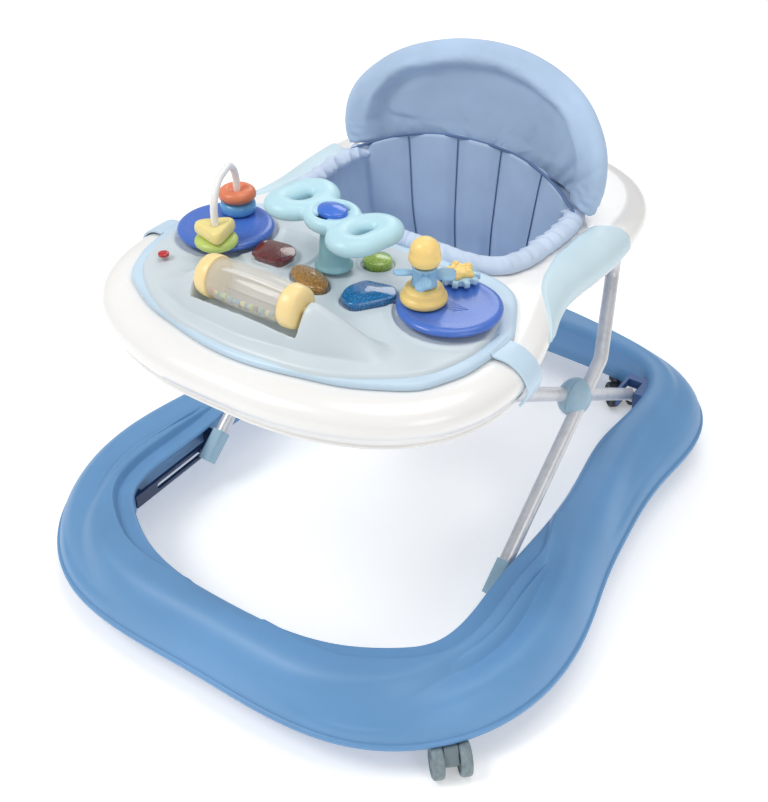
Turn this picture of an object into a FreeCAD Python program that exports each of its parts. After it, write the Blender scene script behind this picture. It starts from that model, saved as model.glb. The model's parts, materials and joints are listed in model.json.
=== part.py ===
import FreeCAD, Part
import math
import os

from FreeCAD import Vector as V

# Baby walker. Millimetres, +Z up, origin on the floor below the middle of the base.
# -Y is the front (the toy tray's side), +Y the back, and the plan is mirrored about X = 0.

os.makedirs("parts", exist_ok=True)

# ---------------------------------------------------------------- driving dimensions
BASE_BOTTOM = 33.0          # the base's lower edge, clear of the floor
BASE_TOP = 82.0             # crest of the base
BASE_WALL = 3.0
TRAY_RIM = 297.6            # lower rim of the white tray
TRAY_TOP = 336.0            # flat top of the white tray
TRAY_WALL = 3.0
PLATE_TOP = 343.0           # top of the light plate that clips over the tray
DECK_TOP = 352.0            # play surface
TUBE_R = 7.25               # frame tube
TUBE_WALL = 1.2
FRONT_LEG_X = 184.0         # plane of the front legs
REAR_LEG_X = 168.0          # plane of the rear legs
HUB_X = 176.0               # the crossing's split plane
GAP = 0.3                   # clearance between pieces of different bodies
RUN = 0.05                  # running clearance of a pin

REAR_PIVOT = (228.0, 62.0)  # (y, z) of the rear legs' hinge on the base
HUB = (42.7, 175.4)         # (y, z) of the crossing
SLIDER = (-120.0, 44.3)     # (y, z) of the front legs' slider pin
KNEE = (79.0, 204.6)        # (y, z) where the front leg turns inwards above the crossing
ELBOW = (150.0, 262.0)      # (y, z) where it turns up to the tray
TRAY_PIVOT = (150.0, 298.0)  # (y, z) of the tray's hinge
TRAY_PIVOT_X = 156.0
CROSSBAR = (-150.0, 293.3)  # (y, z) of the height crossbar under the tray
CROSSBAR_TRAVEL = 77.5      # how far the crossbar runs forward in its guides
CROSSBAR_DIP = 2.2          # how far it sinks in its guides on the way
SLIDER_TRAVEL = 72.6        # how far the slider pin runs forward in its rail

WHEEL_R = 16.0
WHEEL_SPACING = 25.0
WHEEL_WIDTH = 11.0
CASTER_TRAIL = 26.0
STEM_R = 5.0

SWIVEL_TOE = 43.0           # how far each caster is turned at rest, degrees
LEFT_TURN = 38.0            # the left casters stand this much further round
FRONT_WHEELS = (245.0, -299.0)
REAR_WHEELS = (137.5, 284.0)

# Plan outlines, right half, from the front centre round to the back centre.
BASE_OUTER = [(0, -361), (88, -361), (177, -343), (247.5, -286), (282.5, -200.5), (280.5, -107.5),
              (265, -32), (257, 27), (252, 81), (252, 137), (256, 203), (241, 273), (191, 322),
              (126, 344), (61, 356), (0, 361)]
BASE_INNER = [(0, -303), (60, -300), (113, -287), (160, -260), (193, -232), (207, -195),
              (208, -140), (208, -69), (197, 12), (185, 80), (182, 113), (185, 167), (186, 217),
              (176, 254), (150, 277), (98, 288), (40, 291), (0, 292)]
TRAY_OUTER = [(0, -294), (52, -292), (105, -280), (153, -255), (188, -212.5), (201.5, -160),
              (197, -109), (184, -63.5), (173, -26), (169, 11), (172, 56), (174, 115),
              (165, 175), (135, 222), (80, 252), (0, 262)]
SEAT_OPENING = [(0, -34), (60, -36), (96, -35), (118, -24), (129, 0), (132, 28), (134, 58),
                (131, 92), (115, 126), (75, 150), (0, 158)]
PLATE_EDGE = [(0, -272), (34, -269), (70, -261), (103, -252), (133, -237), (155, -221),
              (166, -202), (174, -183), (178, -160), (181, -123), (170, -96), (161, -78),
              (147, -60), (128, -50), (90, -47), (0, -47)]
DECK_EDGE = [(0, -270), (21, -269), (71, -262), (103, -251), (130, -234), (153, -212),
             (167, -182), (172, -158), (168, -120), (153, -87), (128, -66), (90, -58), (0, -56)]

ORIGIN_XY = (0.0, 0.0)
TRAY_CENTRE = (0.0, 40.0)
PLAY_CENTRE = (0.0, -160.0)


def export(name, shape):
    shape.exportStep("parts/" + name + ".step")


def group(shapes):
    return Part.makeCompound(shapes)


def mirrored(shape):
    """The same piece on the left side."""
    return shape.mirror(V(0, 0, 0), V(1, 0, 0))


def both_sides(shape):
    return group([shape, mirrored(shape)])


def box(x0, x1, y0, y1, z0, z1):
    return Part.makeBox(x1 - x0, y1 - y0, z1 - z0, V(x0, y0, z0))


def rod(radius, start, end):
    start = V(*start)
    end = V(*end)
    return Part.makeCylinder(radius, (end - start).Length, start, end - start)


def disc(radius, x, y, z0, z1):
    return rod(radius, (x, y, z0), (x, y, z1))


# ---------------------------------------------------------------- outlines and shells
def polygon_face(corners):
    return Part.Face(Part.makePolygon(corners + [corners[0]]))


def plan_face(points, z):
    """A flat face over plan corners."""
    return polygon_face([V(x, y, z) for x, y in points])


def full_outline(half):
    """Close a right-half outline by mirroring it about X = 0."""
    left = [(-x, y) for x, y in reversed(half[1:-1])]
    return half + left


def smooth_loop(points):
    """A closed smooth curve through plan points, sampled finely."""
    curve = Part.BSplineCurve()
    curve.interpolate(Points=[V(x, y, 0) for x, y in points], PeriodicFlag=True)
    return curve.toShape().discretize(361)[:-1]


def offset_loop(loop, distance):
    """Move each point of a counter-clockwise loop outwards by a distance."""
    moved = []
    count = len(loop)
    for i in range(count):
        along = loop[(i + 1) % count] - loop[i - 1]
        outward = V(along.y, -along.x, 0).normalize()
        moved.append(loop[i] + outward * distance)
    return moved


def ray_points(loop, centre, rays):
    """Where evenly turned rays from a centre cross a loop, so that loops pair up point by point."""
    middle = V(centre[0], centre[1], 0)
    polar = sorted((math.atan2(p.y - middle.y, p.x - middle.x), (p - middle).Length) for p in loop)
    before = (polar[-1][0] - 2 * math.pi, polar[-1][1])
    after = (polar[0][0] + 2 * math.pi, polar[0][1])
    polar = [before] + polar + [after]
    found = []
    for i in range(rays):
        angle = -math.pi + 2 * math.pi * i / rays
        k = 1
        while polar[k][0] < angle:
            k += 1
        a0, r0 = polar[k - 1]
        a1, r1 = polar[k]
        radius = r0 + (r1 - r0) * (angle - a0) / (a1 - a0)
        found.append((centre[0] + radius * math.cos(angle), centre[1] + radius * math.sin(angle)))
    return found


def level(half, offset, z, centre, rays=56):
    """A closed edge: an outline moved outwards by an offset, at one height."""
    loop = offset_loop(smooth_loop(full_outline(half)), offset)
    points = [V(x, y, z) for x, y in ray_points(loop, centre, rays)]
    curve = Part.BSplineCurve()
    curve.interpolate(Points=points, PeriodicFlag=True, Parameters=[float(i) for i in range(rays + 1)])
    return curve.toShape()


def skin(levels, closed):
    """A solid from bands between closed edges: a ring if closed, otherwise capped at both ends."""
    faces = [Part.makeRuledSurface(a, b) for a, b in zip(levels, levels[1:])]
    if closed:
        faces.append(Part.makeRuledSurface(levels[-1], levels[0]))
    else:
        faces.append(Part.Face(Part.Wire([levels[0]])))
        faces.append(Part.Face(Part.Wire([levels[-1]])))
    shell = Part.makeShell(faces)
    shell.sewShape()
    solid = Part.makeSolid(Part.Shell(shell.Faces))
    if solid.Volume < 0:
        solid.reverse()
    return solid


def ring(outer, outer_profile, inner, inner_profile, centre):
    """A ring whose section runs up the outer outline's profile and down the inner one's."""
    levels = [level(outer, offset, z, centre) for offset, z in outer_profile]
    levels += [level(inner, offset, z, centre) for offset, z in inner_profile]
    return skin(levels, True)


def slab(half, profile, centre):
    """A solid stack of one outline's levels."""
    return skin([level(half, offset, z, centre) for offset, z in profile], False)


# ---------------------------------------------------------------- tubes
def tube_path(points, bend):
    """Straight runs with a tangent arc of one bend radius at each inner point."""
    edges = []
    points = [V(*p) for p in points]
    last = points[0]
    for before, corner, after in zip(points, points[1:], points[2:]):
        back = (before - corner).normalize()
        forth = (after - corner).normalize()
        half = 0.5 * back.getAngle(forth)
        cut = bend / math.tan(half)
        start = corner + back * cut
        end = corner + forth * cut
        middle_way = (back + forth).normalize()
        middle = corner + middle_way * (bend / math.sin(half) - bend)
        edges.append(Part.LineSegment(last, start).toShape())
        edges.append(Part.Arc(start, middle, end).toShape())
        last = end
    edges.append(Part.LineSegment(last, points[-1]).toShape())
    return Part.Wire(edges)


def sweep(points, bend, radius):
    path = tube_path(points, bend)
    start = V(*points[0])
    circle = Part.Wire([Part.Circle(start, V(*points[1]) - start, radius).toShape()])
    return path.makePipeShell([circle], True, True)


def tube(points, bend, radius=TUBE_R, wall=TUBE_WALL):
    return sweep(points, bend, radius).cut(sweep(points, bend, radius - wall))


def at(x, yz):
    return (x, yz[0], yz[1])


def along(a, b, distance):
    """The (y, z) point at a distance from a towards b."""
    length = math.hypot(b[0] - a[0], b[1] - a[1])
    return (a[0] + (b[0] - a[0]) * distance / length, a[1] + (b[1] - a[1]) * distance / length)


def cross_rod(radius, x, yz, reach_in, reach_out=None):
    """A rod along X through a (y, z) point, from x - reach_in to x + reach_out."""
    if reach_out is None:
        reach_out = reach_in
    return rod(radius, (x - reach_in, yz[0], yz[1]), (x + reach_out, yz[0], yz[1]))


def eared_tube(shape, x, pivot, pin_radius):
    """A tube end with a solid plug, rounded about its pin and drilled for it."""
    plug = cross_rod(TUBE_R - TUBE_WALL, x, pivot, TUBE_R - 1.5)
    eye = cross_rod(TUBE_R + 1, x, pivot, 6)
    hole = cross_rod(pin_radius, x, pivot, 20)
    return shape.fuse(eye).fuse(plug).cut(hole)


# ---------------------------------------------------------------- base
BASE_CREST = 40.0
BASE_OUTER_PROFILE = [(3, BASE_BOTTOM), (3, BASE_BOTTOM + 4), (0, BASE_BOTTOM + 5), (-6, 54), (-14, 67),
                      (-26, 76), (-BASE_CREST, BASE_TOP)]
BASE_INNER_PROFILE = [(12, BASE_TOP), (4, 79), (0, 72), (0, BASE_BOTTOM)]
BASE_CAVITY_PROFILE = [(BASE_WALL, BASE_BOTTOM), (BASE_WALL, 71), (7, 75.5), (13, BASE_TOP - BASE_WALL)]
BASE_CAVITY_OUTER = [(-BASE_CREST, BASE_TOP - BASE_WALL), (-28, 72.5), (-17, 64), (-9, 53), (-BASE_WALL, 38),
                     (-BASE_WALL, BASE_BOTTOM)]


def base_ring():
    levels = [level(BASE_OUTER, offset, z, ORIGIN_XY) for offset, z in BASE_OUTER_PROFILE]
    levels += [level(BASE_INNER, offset, z, ORIGIN_XY) for offset, z in BASE_INNER_PROFILE]
    levels += [level(BASE_INNER, offset, z, ORIGIN_XY) for offset, z in BASE_CAVITY_PROFILE]
    levels += [level(BASE_OUTER, offset, z, ORIGIN_XY) for offset, z in BASE_CAVITY_OUTER]
    return skin(levels, True)


def base_block():
    """The base without its cavity, used to trim what fits against its inner wall."""
    return ring(BASE_OUTER, BASE_OUTER_PROFILE, BASE_INNER, BASE_INNER_PROFILE, ORIGIN_XY)


RAIL_X = 193.5
RAIL_THICK = 4.0
RAIL_HALF_HEIGHT = 8.0
RAIL_FRONT = -228.0         # y of the rail's ends
RAIL_REAR = -92.0
RAIL_BLOCK = 12.0           # length of the block that holds each end
RAIL_BLOCK_X = 218.0        # how far the blocks reach out, before the base trims them
SLIDER_PIN_R = 2.5
RAIL_SLOT = SLIDER_PIN_R + 1.3


def slide_rail(block):
    """A bar with the slider pin's slot, held off the base's inner wall by a block at each end."""
    front = SLIDER[0] - SLIDER_TRAVEL
    z = SLIDER[1]
    slot = box(RAIL_X - 1, RAIL_X + RAIL_THICK + 1, front, SLIDER[0], z - RAIL_SLOT, z + RAIL_SLOT)
    ends = [cross_rod(RAIL_SLOT, RAIL_X, (y, z), 1, RAIL_THICK + 1) for y in (front, SLIDER[0])]
    low = z - RAIL_HALF_HEIGHT
    high = z + RAIL_HALF_HEIGHT
    front_block = box(RAIL_X, RAIL_BLOCK_X, RAIL_FRONT, RAIL_FRONT + RAIL_BLOCK, low, high)
    rear_block = box(RAIL_X, RAIL_BLOCK_X, RAIL_REAR - RAIL_BLOCK, RAIL_REAR, low, high)
    bar = box(RAIL_X, RAIL_X + RAIL_THICK, RAIL_FRONT, RAIL_REAR, low, high)
    rail = bar.fuse([front_block, rear_block]).cut([slot] + ends)
    return keep_largest(rail.cut(block))


def keep_largest(shape):
    return max(shape.Solids, key=lambda s: s.Volume)


REAR_PIN_R = 4.0
BRACKET_HALF = 12.0         # half width, and reach in front of and above the pin
BRACKET_REACH = 26.0        # out to the base's wall, before the base trims it
BRACKET_DEPTH = 22.0        # back from the pin
CHEEK_GAP = 8.5             # from the leg's middle to each cheek


def rear_bracket(block):
    """A clevis on the base's inner wall that holds the rear leg's pin."""
    y, z = REAR_PIVOT
    inner_x = REAR_LEG_X - BRACKET_HALF
    outer_x = REAR_LEG_X + BRACKET_REACH
    front = y - BRACKET_HALF
    back = y + BRACKET_DEPTH
    low = z - BRACKET_HALF - 2
    high = z + BRACKET_HALF
    inner_cheek = box(inner_x, REAR_LEG_X - CHEEK_GAP, front, back, low, high)
    outer_cheek = box(REAR_LEG_X + CHEEK_GAP, outer_x, front, back, low, high)
    web = box(inner_x, outer_x, y + BRACKET_HALF, back, low, high)
    bracket = inner_cheek.fuse([outer_cheek, web])
    hole = cross_rod(REAR_PIN_R, REAR_LEG_X, REAR_PIVOT, 30, BRACKET_HALF)
    return keep_largest(bracket.cut([hole, block]))


def rear_pivot_pin():
    head = cross_rod(REAR_PIN_R + 2.5, REAR_LEG_X, REAR_PIVOT, BRACKET_HALF + 2, -BRACKET_HALF)
    return head.fuse(cross_rod(REAR_PIN_R, REAR_LEG_X, REAR_PIVOT, BRACKET_HALF, BRACKET_HALF - 0.5))


PAD_PLACES = [(252, -224), (-252, -224), (222, 236), (-222, 236), (0, -332), (0, 330)]
PAD_BOTTOM = 22.0


def brake_pads(shell):
    """Rubber stoppers under the base, clear of the floor until a wheel drops off a step."""
    return [keep_largest(disc(9, x, y, PAD_BOTTOM, BASE_TOP).cut(shell)) for x, y in PAD_PLACES]


# ---------------------------------------------------------------- casters
def swivel_point(wheels):
    """Where a right caster's stem stands: the trail's length from its wheels, towards the base's band."""
    angle = math.radians(90 + SWIVEL_TOE)
    return (wheels[0] + CASTER_TRAIL * math.cos(angle), wheels[1] + CASTER_TRAIL * math.sin(angle))


def caster_frame(wheels, swivel):
    """Unit vectors of a caster: from its stem to its wheels, and along its axle."""
    trail = V(wheels[0] - swivel[0], wheels[1] - swivel[1], 0).normalize()
    return trail, V(-trail.y, trail.x, 0)


STEM_TOP = 52.0
SOCKET_BOTTOM = 38.0
ARM_TOP = 31.0
CASTER_PIN_R = 2.5


def caster_socket(swivel, shell):
    """A boss that hangs from the underside of the base and takes a caster's stem."""
    x, y = swivel
    boss = disc(STEM_R + 3.5, x, y, SOCKET_BOTTOM, BASE_TOP)
    return keep_largest(boss.cut([shell, disc(STEM_R + RUN, x, y, SOCKET_BOTTOM - 1, STEM_TOP + 0.5)]))


def caster_yoke(wheels, swivel):
    """A stem, an arm that trails back to the wheels, and the axle between them."""
    trail, axle = caster_frame(wheels, swivel)
    stem = disc(STEM_R, swivel[0], swivel[1], 20, STEM_TOP)
    head = disc(9, swivel[0], swivel[1], 20, SOCKET_BOTTOM - 0.5)
    base = V(swivel[0], swivel[1], 0)
    half = 0.5 * (WHEEL_SPACING - WHEEL_WIDTH) - 0.6
    reach = CASTER_TRAIL
    outline = [(-6, 20), (-6, ARM_TOP), (reach, ARM_TOP), (reach + 9, 20), (reach + 2, 8), (reach - 9, 12)]
    corners = [base + trail * out + axle * half + V(0, 0, z) for out, z in outline]
    arm = polygon_face(corners).extrude(axle * (-2 * half))
    hub = base + trail * reach + V(0, 0, WHEEL_R)
    span = 0.5 * (WHEEL_SPACING + WHEEL_WIDTH) - 1.5
    pin = rod(CASTER_PIN_R, tuple(hub - axle * span), tuple(hub + axle * span))
    return stem.fuse([head, arm, pin])


def caster_wheels(wheels, swivel):
    """Two narrow wheels with rounded treads, one each side of the arm."""
    trail, axle = caster_frame(wheels, swivel)
    hub = V(swivel[0], swivel[1], 0) + trail * CASTER_TRAIL + V(0, 0, WHEEL_R)
    pair = []
    for side in (-1, 1):
        middle = hub + axle * (side * 0.5 * WHEEL_SPACING)
        start = middle - axle * (0.5 * WHEEL_WIDTH)
        wheel = Part.makeCylinder(WHEEL_R, WHEEL_WIDTH, start, axle)
        rims = [e for e in wheel.Edges if abs(e.Length - 2 * math.pi * WHEEL_R) < 1]
        wheel = wheel.makeFillet(2.5, rims)
        hole_start = middle - axle * (side * 0.5 * WHEEL_WIDTH)
        hole = Part.makeCylinder(CASTER_PIN_R + RUN, WHEEL_WIDTH - 1.3, hole_start, axle * side)
        pair.append(wheel.cut(hole))
    return group(pair)


# ---------------------------------------------------------------- frame
HUB_R = 20.5
HUB_HALF_THICK = 17.0
HUB_SPACE = 40.0            # half the side of the block that each half is kept from
BOLT_R = 3.0
BOLT_HEAD_R = 4.5
BOLT_HEAD_IN = 3.5          # from the rear leg's middle to the bolt's shoulder
LEG_PIN_R = 4.0


def hub_half(side):
    """One half of the crossing's lens-shaped cover, bored for its tube and for the bolt."""
    lens = Part.makeSphere(HUB_R)
    squeeze = FreeCAD.Matrix()
    squeeze.A11 = HUB_HALF_THICK / HUB_R
    lens = lens.transformGeometry(squeeze)
    lens.translate(V(HUB_X, HUB[0], HUB[1]))
    keep = 0.5 * GAP
    low_y = HUB[0] - HUB_SPACE
    high_y = HUB[0] + HUB_SPACE
    low_z = HUB[1] - HUB_SPACE
    high_z = HUB[1] + HUB_SPACE
    if side > 0:
        half = lens.common(box(HUB_X + keep, HUB_X + HUB_SPACE, low_y, high_y, low_z, high_z))
        bore = sweep(front_leg_line(), LEG_BEND, TUBE_R)
        hole = cross_rod(BOLT_R + RUN, FRONT_LEG_X, HUB, HUB_SPACE, 5)
    else:
        half = lens.common(box(HUB_X - HUB_SPACE, HUB_X - keep, low_y, high_y, low_z, high_z))
        bore = sweep(rear_leg_line(), 1, TUBE_R)
        hole = cross_rod(BOLT_R, REAR_LEG_X, HUB, 4, HUB_SPACE)
    return half.cut([bore, hole])


def hub_bolt():
    """A shouldered bolt through both tubes: it is fixed in the rear leg and turns in the front one."""
    head = cross_rod(BOLT_HEAD_R, REAR_LEG_X, HUB, BOLT_HEAD_IN + 2, -BOLT_HEAD_IN)
    shank = cross_rod(BOLT_R, REAR_LEG_X, HUB, BOLT_HEAD_IN, FRONT_LEG_X - REAR_LEG_X + 4.5)
    return head.fuse(shank)


CROSSBAR_BEND = 30.0
JOIN = 40.0


def rear_leg_line():
    return [at(REAR_LEG_X, along(REAR_PIVOT, CROSSBAR, 3)), at(REAR_LEG_X, along(CROSSBAR, REAR_PIVOT, JOIN))]


def rear_leg():
    """A straight tube from the base's bracket through the crossing up to the crossbar's elbow."""
    leg = tube(rear_leg_line(), 1)
    leg = eared_tube(leg, REAR_LEG_X, REAR_PIVOT, REAR_PIN_R + RUN)
    bolt_hole = cross_rod(BOLT_R, REAR_LEG_X, HUB, BOLT_HEAD_IN, 20)
    head_hole = cross_rod(BOLT_HEAD_R, REAR_LEG_X, HUB, 20, -BOLT_HEAD_IN)
    return leg.cut([bolt_hole, head_hole])


def height_crossbar():
    """The bar under the tray that ties the rear legs, with an elbow at each end."""
    end = along(CROSSBAR, REAR_PIVOT, JOIN)
    points = [at(-REAR_LEG_X, end), at(-REAR_LEG_X, CROSSBAR)]
    points += [at(REAR_LEG_X, CROSSBAR), at(REAR_LEG_X, end)]
    return tube(points, CROSSBAR_BEND)


SLIDER_CAP = 28.0           # how far the cap covers the leg beyond its pin
CAP_WIDTH = 15.0
CAP_DEPTH = 18.0
LEG_IN_CAP = 14.0           # from the slider pin to the tube's end
LEG_BEND = 24.0


def front_leg_line():
    start = along(SLIDER, HUB, LEG_IN_CAP)
    top = along(TRAY_PIVOT, ELBOW, 2)
    return [at(FRONT_LEG_X, start), at(FRONT_LEG_X, KNEE), at(TRAY_PIVOT_X, ELBOW), at(TRAY_PIVOT_X, top)]


def front_leg():
    """A bent tube from the slider cap through the crossing up to the tray's bracket."""
    leg = tube(front_leg_line(), LEG_BEND)
    leg = eared_tube(leg, TRAY_PIVOT_X, TRAY_PIVOT, LEG_PIN_R + RUN)
    return leg.cut(cross_rod(BOLT_R + RUN, FRONT_LEG_X, HUB, 20, 6))


def end_cap():
    """A square-shouldered plastic cap on the front leg's foot, bored for the tube and the pin."""
    lean = math.degrees(math.atan2(HUB[1] - SLIDER[1], HUB[0] - SLIDER[0]))
    half = 0.5 * CAP_DEPTH
    corner = V(FRONT_LEG_X - 0.5 * CAP_WIDTH, -half, -half)
    block = Part.makeBox(CAP_WIDTH, SLIDER_CAP + half, CAP_DEPTH, corner)
    long_edges = [e for e in block.Edges if abs(e.Length - (SLIDER_CAP + half)) < 0.1]
    block = block.makeFillet(3, long_edges)
    block.rotate(V(0, 0, 0), V(1, 0, 0), lean)
    block.translate(V(0, SLIDER[0], SLIDER[1]))
    tube_end = at(FRONT_LEG_X, along(SLIDER, HUB, LEG_IN_CAP))
    bore = rod(TUBE_R, tube_end, at(FRONT_LEG_X, along(SLIDER, HUB, 80)))
    pin_hole = cross_rod(SLIDER_PIN_R, FRONT_LEG_X, SLIDER, 4, 20)
    return block.cut([bore, pin_hole])


def slider_pin():
    """The pin that stands out of the cap and runs in the rail's slot, with a flat head behind it."""
    shank = cross_rod(SLIDER_PIN_R, FRONT_LEG_X, SLIDER, 4, RAIL_X + RAIL_THICK + 1 - FRONT_LEG_X)
    head = cross_rod(2 * SLIDER_PIN_R, RAIL_X + RAIL_THICK + 1, SLIDER, 0, 2)
    return shank.fuse(head)


# ---------------------------------------------------------------- tray
TRAY_PROFILE = [(0, TRAY_RIM), (2, TRAY_RIM + 3), (8, 312), (9, 321), (4, 329), (-6, 334), (-16, TRAY_TOP)]
TRAY_UNDER = [(-16, TRAY_TOP - TRAY_WALL), (-7, 331), (0.5, 326.5), (5.8, 320), (5, 312.5), (-0.5, 301),
              (-3, TRAY_RIM)]
BATTERY_X = 52.0
BATTERY_Y = (-216.0, -128.0)
BATTERY_BOTTOM = 309.0


def tray_shell():
    """The white surround: a bulged rim, a flat top, and a turned-down edge round the seat."""
    levels = [level(TRAY_OUTER, offset, z, TRAY_CENTRE) for offset, z in TRAY_PROFILE]
    levels += [level(SEAT_OPENING, 0, z, TRAY_CENTRE) for z in (TRAY_TOP, TRAY_TOP - 14)]
    levels += [level(SEAT_OPENING, TRAY_WALL, z, TRAY_CENTRE) for z in (TRAY_TOP - 14, TRAY_TOP - TRAY_WALL)]
    levels += [level(TRAY_OUTER, offset, z, TRAY_CENTRE) for offset, z in TRAY_UNDER]
    shell = skin(levels, True)
    low, high = BATTERY_Y
    return shell.cut(box(-BATTERY_X - 1, BATTERY_X + 1, low - 1, high + 1, TRAY_TOP - 6, TRAY_TOP + 4))


GRIP = [(184, -76), (179, -40), (173, 0), (170, 40), (170, 80), (166, 118), (154, 120), (146, 100),
        (144, 72), (144, 30), (153, -12), (169, -46)]


def side_grip():
    """A soft pad on the tray's top beside the seat, pointed at its front end."""
    curve = Part.BSplineCurve()
    curve.interpolate(Points=[V(x, y, TRAY_TOP + 0.02) for x, y in GRIP], PeriodicFlag=True)
    face = Part.Face(Part.Wire([curve.toShape()]))
    return face.extrude(V(0, 0, 4)).cut(box(TRAY_PIVOT_X + 5, 220, -100, 160, TRAY_TOP - 20, TRAY_TOP))


CLEVIS_HALF = 11.0          # half width of the clevis, and its reach below the pin
CLEVIS_REACH = 13.0         # forward and back from the pin
CLEVIS_CHEEK = 3.0


def pivot_bracket(shell):
    """A clevis under the tray's top that holds the front leg's upper pin."""
    y, z = TRAY_PIVOT
    top = TRAY_TOP - TRAY_WALL
    front = y - CLEVIS_REACH
    back = y + CLEVIS_REACH
    cheeks = []
    for x in (TRAY_PIVOT_X - CLEVIS_HALF, TRAY_PIVOT_X + CLEVIS_HALF - CLEVIS_CHEEK):
        cheeks.append(box(x, x + CLEVIS_CHEEK, front, back, z - CLEVIS_HALF, top))
    flange = box(TRAY_PIVOT_X - CLEVIS_HALF, TRAY_PIVOT_X + CLEVIS_HALF, front, back, top - 4, top)
    hole = cross_rod(LEG_PIN_R, TRAY_PIVOT_X, TRAY_PIVOT, 20)
    return keep_largest(cheeks[0].fuse([cheeks[1], flange]).cut([hole, shell]))


def pivot_pin():
    head = cross_rod(LEG_PIN_R + 2, TRAY_PIVOT_X, TRAY_PIVOT, CLEVIS_HALF + 2, -CLEVIS_HALF)
    return head.fuse(cross_rod(LEG_PIN_R, TRAY_PIVOT_X, TRAY_PIVOT, CLEVIS_HALF))


GUIDE_X = 60.0
GUIDE_END = 20.0            # from the crossbar's end places to the guide's ends
GUIDE_SLOT_LOW = CROSSBAR[1] - CROSSBAR_DIP - TUBE_R - 1.3
GUIDE_SLOT_HIGH = CROSSBAR[1] + TUBE_R + 1.5


def crossbar_guide():
    """A long slotted bracket under the tray in which the height crossbar rests and runs forward."""
    front = CROSSBAR[0] - CROSSBAR_TRAVEL
    back = CROSSBAR[0] + GUIDE_END
    top = TRAY_TOP - TRAY_WALL
    plate = box(GUIDE_X, GUIDE_X + 5, front - GUIDE_END, back, GUIDE_SLOT_LOW - 4, top)
    slot = box(GUIDE_X - 1, GUIDE_X + 6, front - 8, CROSSBAR[0] + 9, GUIDE_SLOT_LOW, GUIDE_SLOT_HIGH)
    flange = box(GUIDE_X, GUIDE_X + 19, front + 30, back, top - 3, top)
    return plate.cut(slot).fuse(flange)


# ---------------------------------------------------------------- seat
BAG_BOTTOM = 165.0
BAG_WALL = 4.0
BAG_BODY = [(0, -34), (60, -36), (96, -35), (118, -24), (129, 0), (132, 28), (133, 56),
            (128, 84), (109, 110), (72, 130), (0, 137)]
BAG_LEVELS = [(SEAT_OPENING, -3.5, TRAY_TOP + 1), (SEAT_OPENING, -4, 328), (BAG_BODY, -6, 300),
              (BAG_BODY, -10, 280), (BAG_BODY, -22, 235), (BAG_BODY, -40, 195), (BAG_BODY, -62, BAG_BOTTOM)]
LEG_HOLE_R = 40.0
LEG_HOLE_X = 58.0
LEG_HOLE_Y = 34.0


def seat_bag():
    """The fabric seat: a bag hung in the opening, with a hole for each leg."""
    outer = skin([level(edge, offset, z, TRAY_CENTRE) for edge, offset, z in BAG_LEVELS], False)
    hollow = []
    for edge, offset, z in BAG_LEVELS:
        rise = 1 if z > TRAY_TOP else 0
        rise = BAG_WALL if z == BAG_BOTTOM else rise
        hollow.append(level(edge, offset - BAG_WALL, z + rise, TRAY_CENTRE))
    bag = outer.cut(skin(hollow, False))
    for side in (-1, 1):
        start = (side * (LEG_HOLE_X - 10), LEG_HOLE_Y, BAG_BOTTOM + 45)
        end = (side * (LEG_HOLE_X + 30), LEG_HOLE_Y - 16, BAG_BOTTOM - 40)
        bag = bag.cut(rod(LEG_HOLE_R, start, end))
    return keep_largest(bag)


SEAT_RIM_PROFILE = [(7, TRAY_TOP + GAP), (8, 343), (3, 349), (-4, 350)]
SEAT_RIM_INNER = [(-11, 346), (-12, TRAY_TOP + GAP + 1.5), (-3, TRAY_TOP + 1.2), (-3, TRAY_TOP + GAP)]


def seat_rim():
    """The gathered roll of fabric that lies on the tray round the seat."""
    profile = SEAT_RIM_PROFILE + SEAT_RIM_INNER
    return skin([level(SEAT_OPENING, offset, z, TRAY_CENTRE) for offset, z in profile], True)


HOOD_THICK = 24.0
HOOD_FOOT = (96.0, 351.0)   # (y, z) of the hood's front corners
HOOD_HEIGHT = 127.0
HOOD_LEAN = 0.40            # how far the hood goes back for each millimetre up
# Each level's share of the height, half width and depth.
HOOD_SHAPE = [(0.0, 146, 66), (0.2, 152, 64), (0.45, 149, 55), (0.65, 134, 44), (0.82, 106, 32),
              (0.93, 73, 24), (1.0, 38, 18)]


def hood_level(fraction, half_width, depth):
    """One crescent of the hood: its rear face bulges back by a depth, its front face follows it."""
    z = HOOD_FOOT[1] + fraction * HOOD_HEIGHT
    y = HOOD_FOOT[0] + fraction * HOOD_HEIGHT * HOOD_LEAN
    inner_width = half_width - HOOD_THICK * (1 - 0.6 * fraction)
    inner_depth = max(depth - HOOD_THICK, 1.0)
    rear = Part.Arc(V(-half_width, y, z), V(0, y + depth, z), V(half_width, y, z)).toShape()
    front = Part.Arc(V(inner_width, y, z), V(0, y + inner_depth, z), V(-inner_width, y, z)).toShape()
    right = Part.LineSegment(V(half_width, y, z), V(inner_width, y, z)).toShape()
    left = Part.LineSegment(V(-inner_width, y, z), V(-half_width, y, z)).toShape()
    return Part.Wire([rear, right, front, left])


def back_hood():
    """The padded backrest that stands up behind the child, leaning back and curved round."""
    return Part.makeLoft([hood_level(*row) for row in HOOD_SHAPE], True, True)


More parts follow.
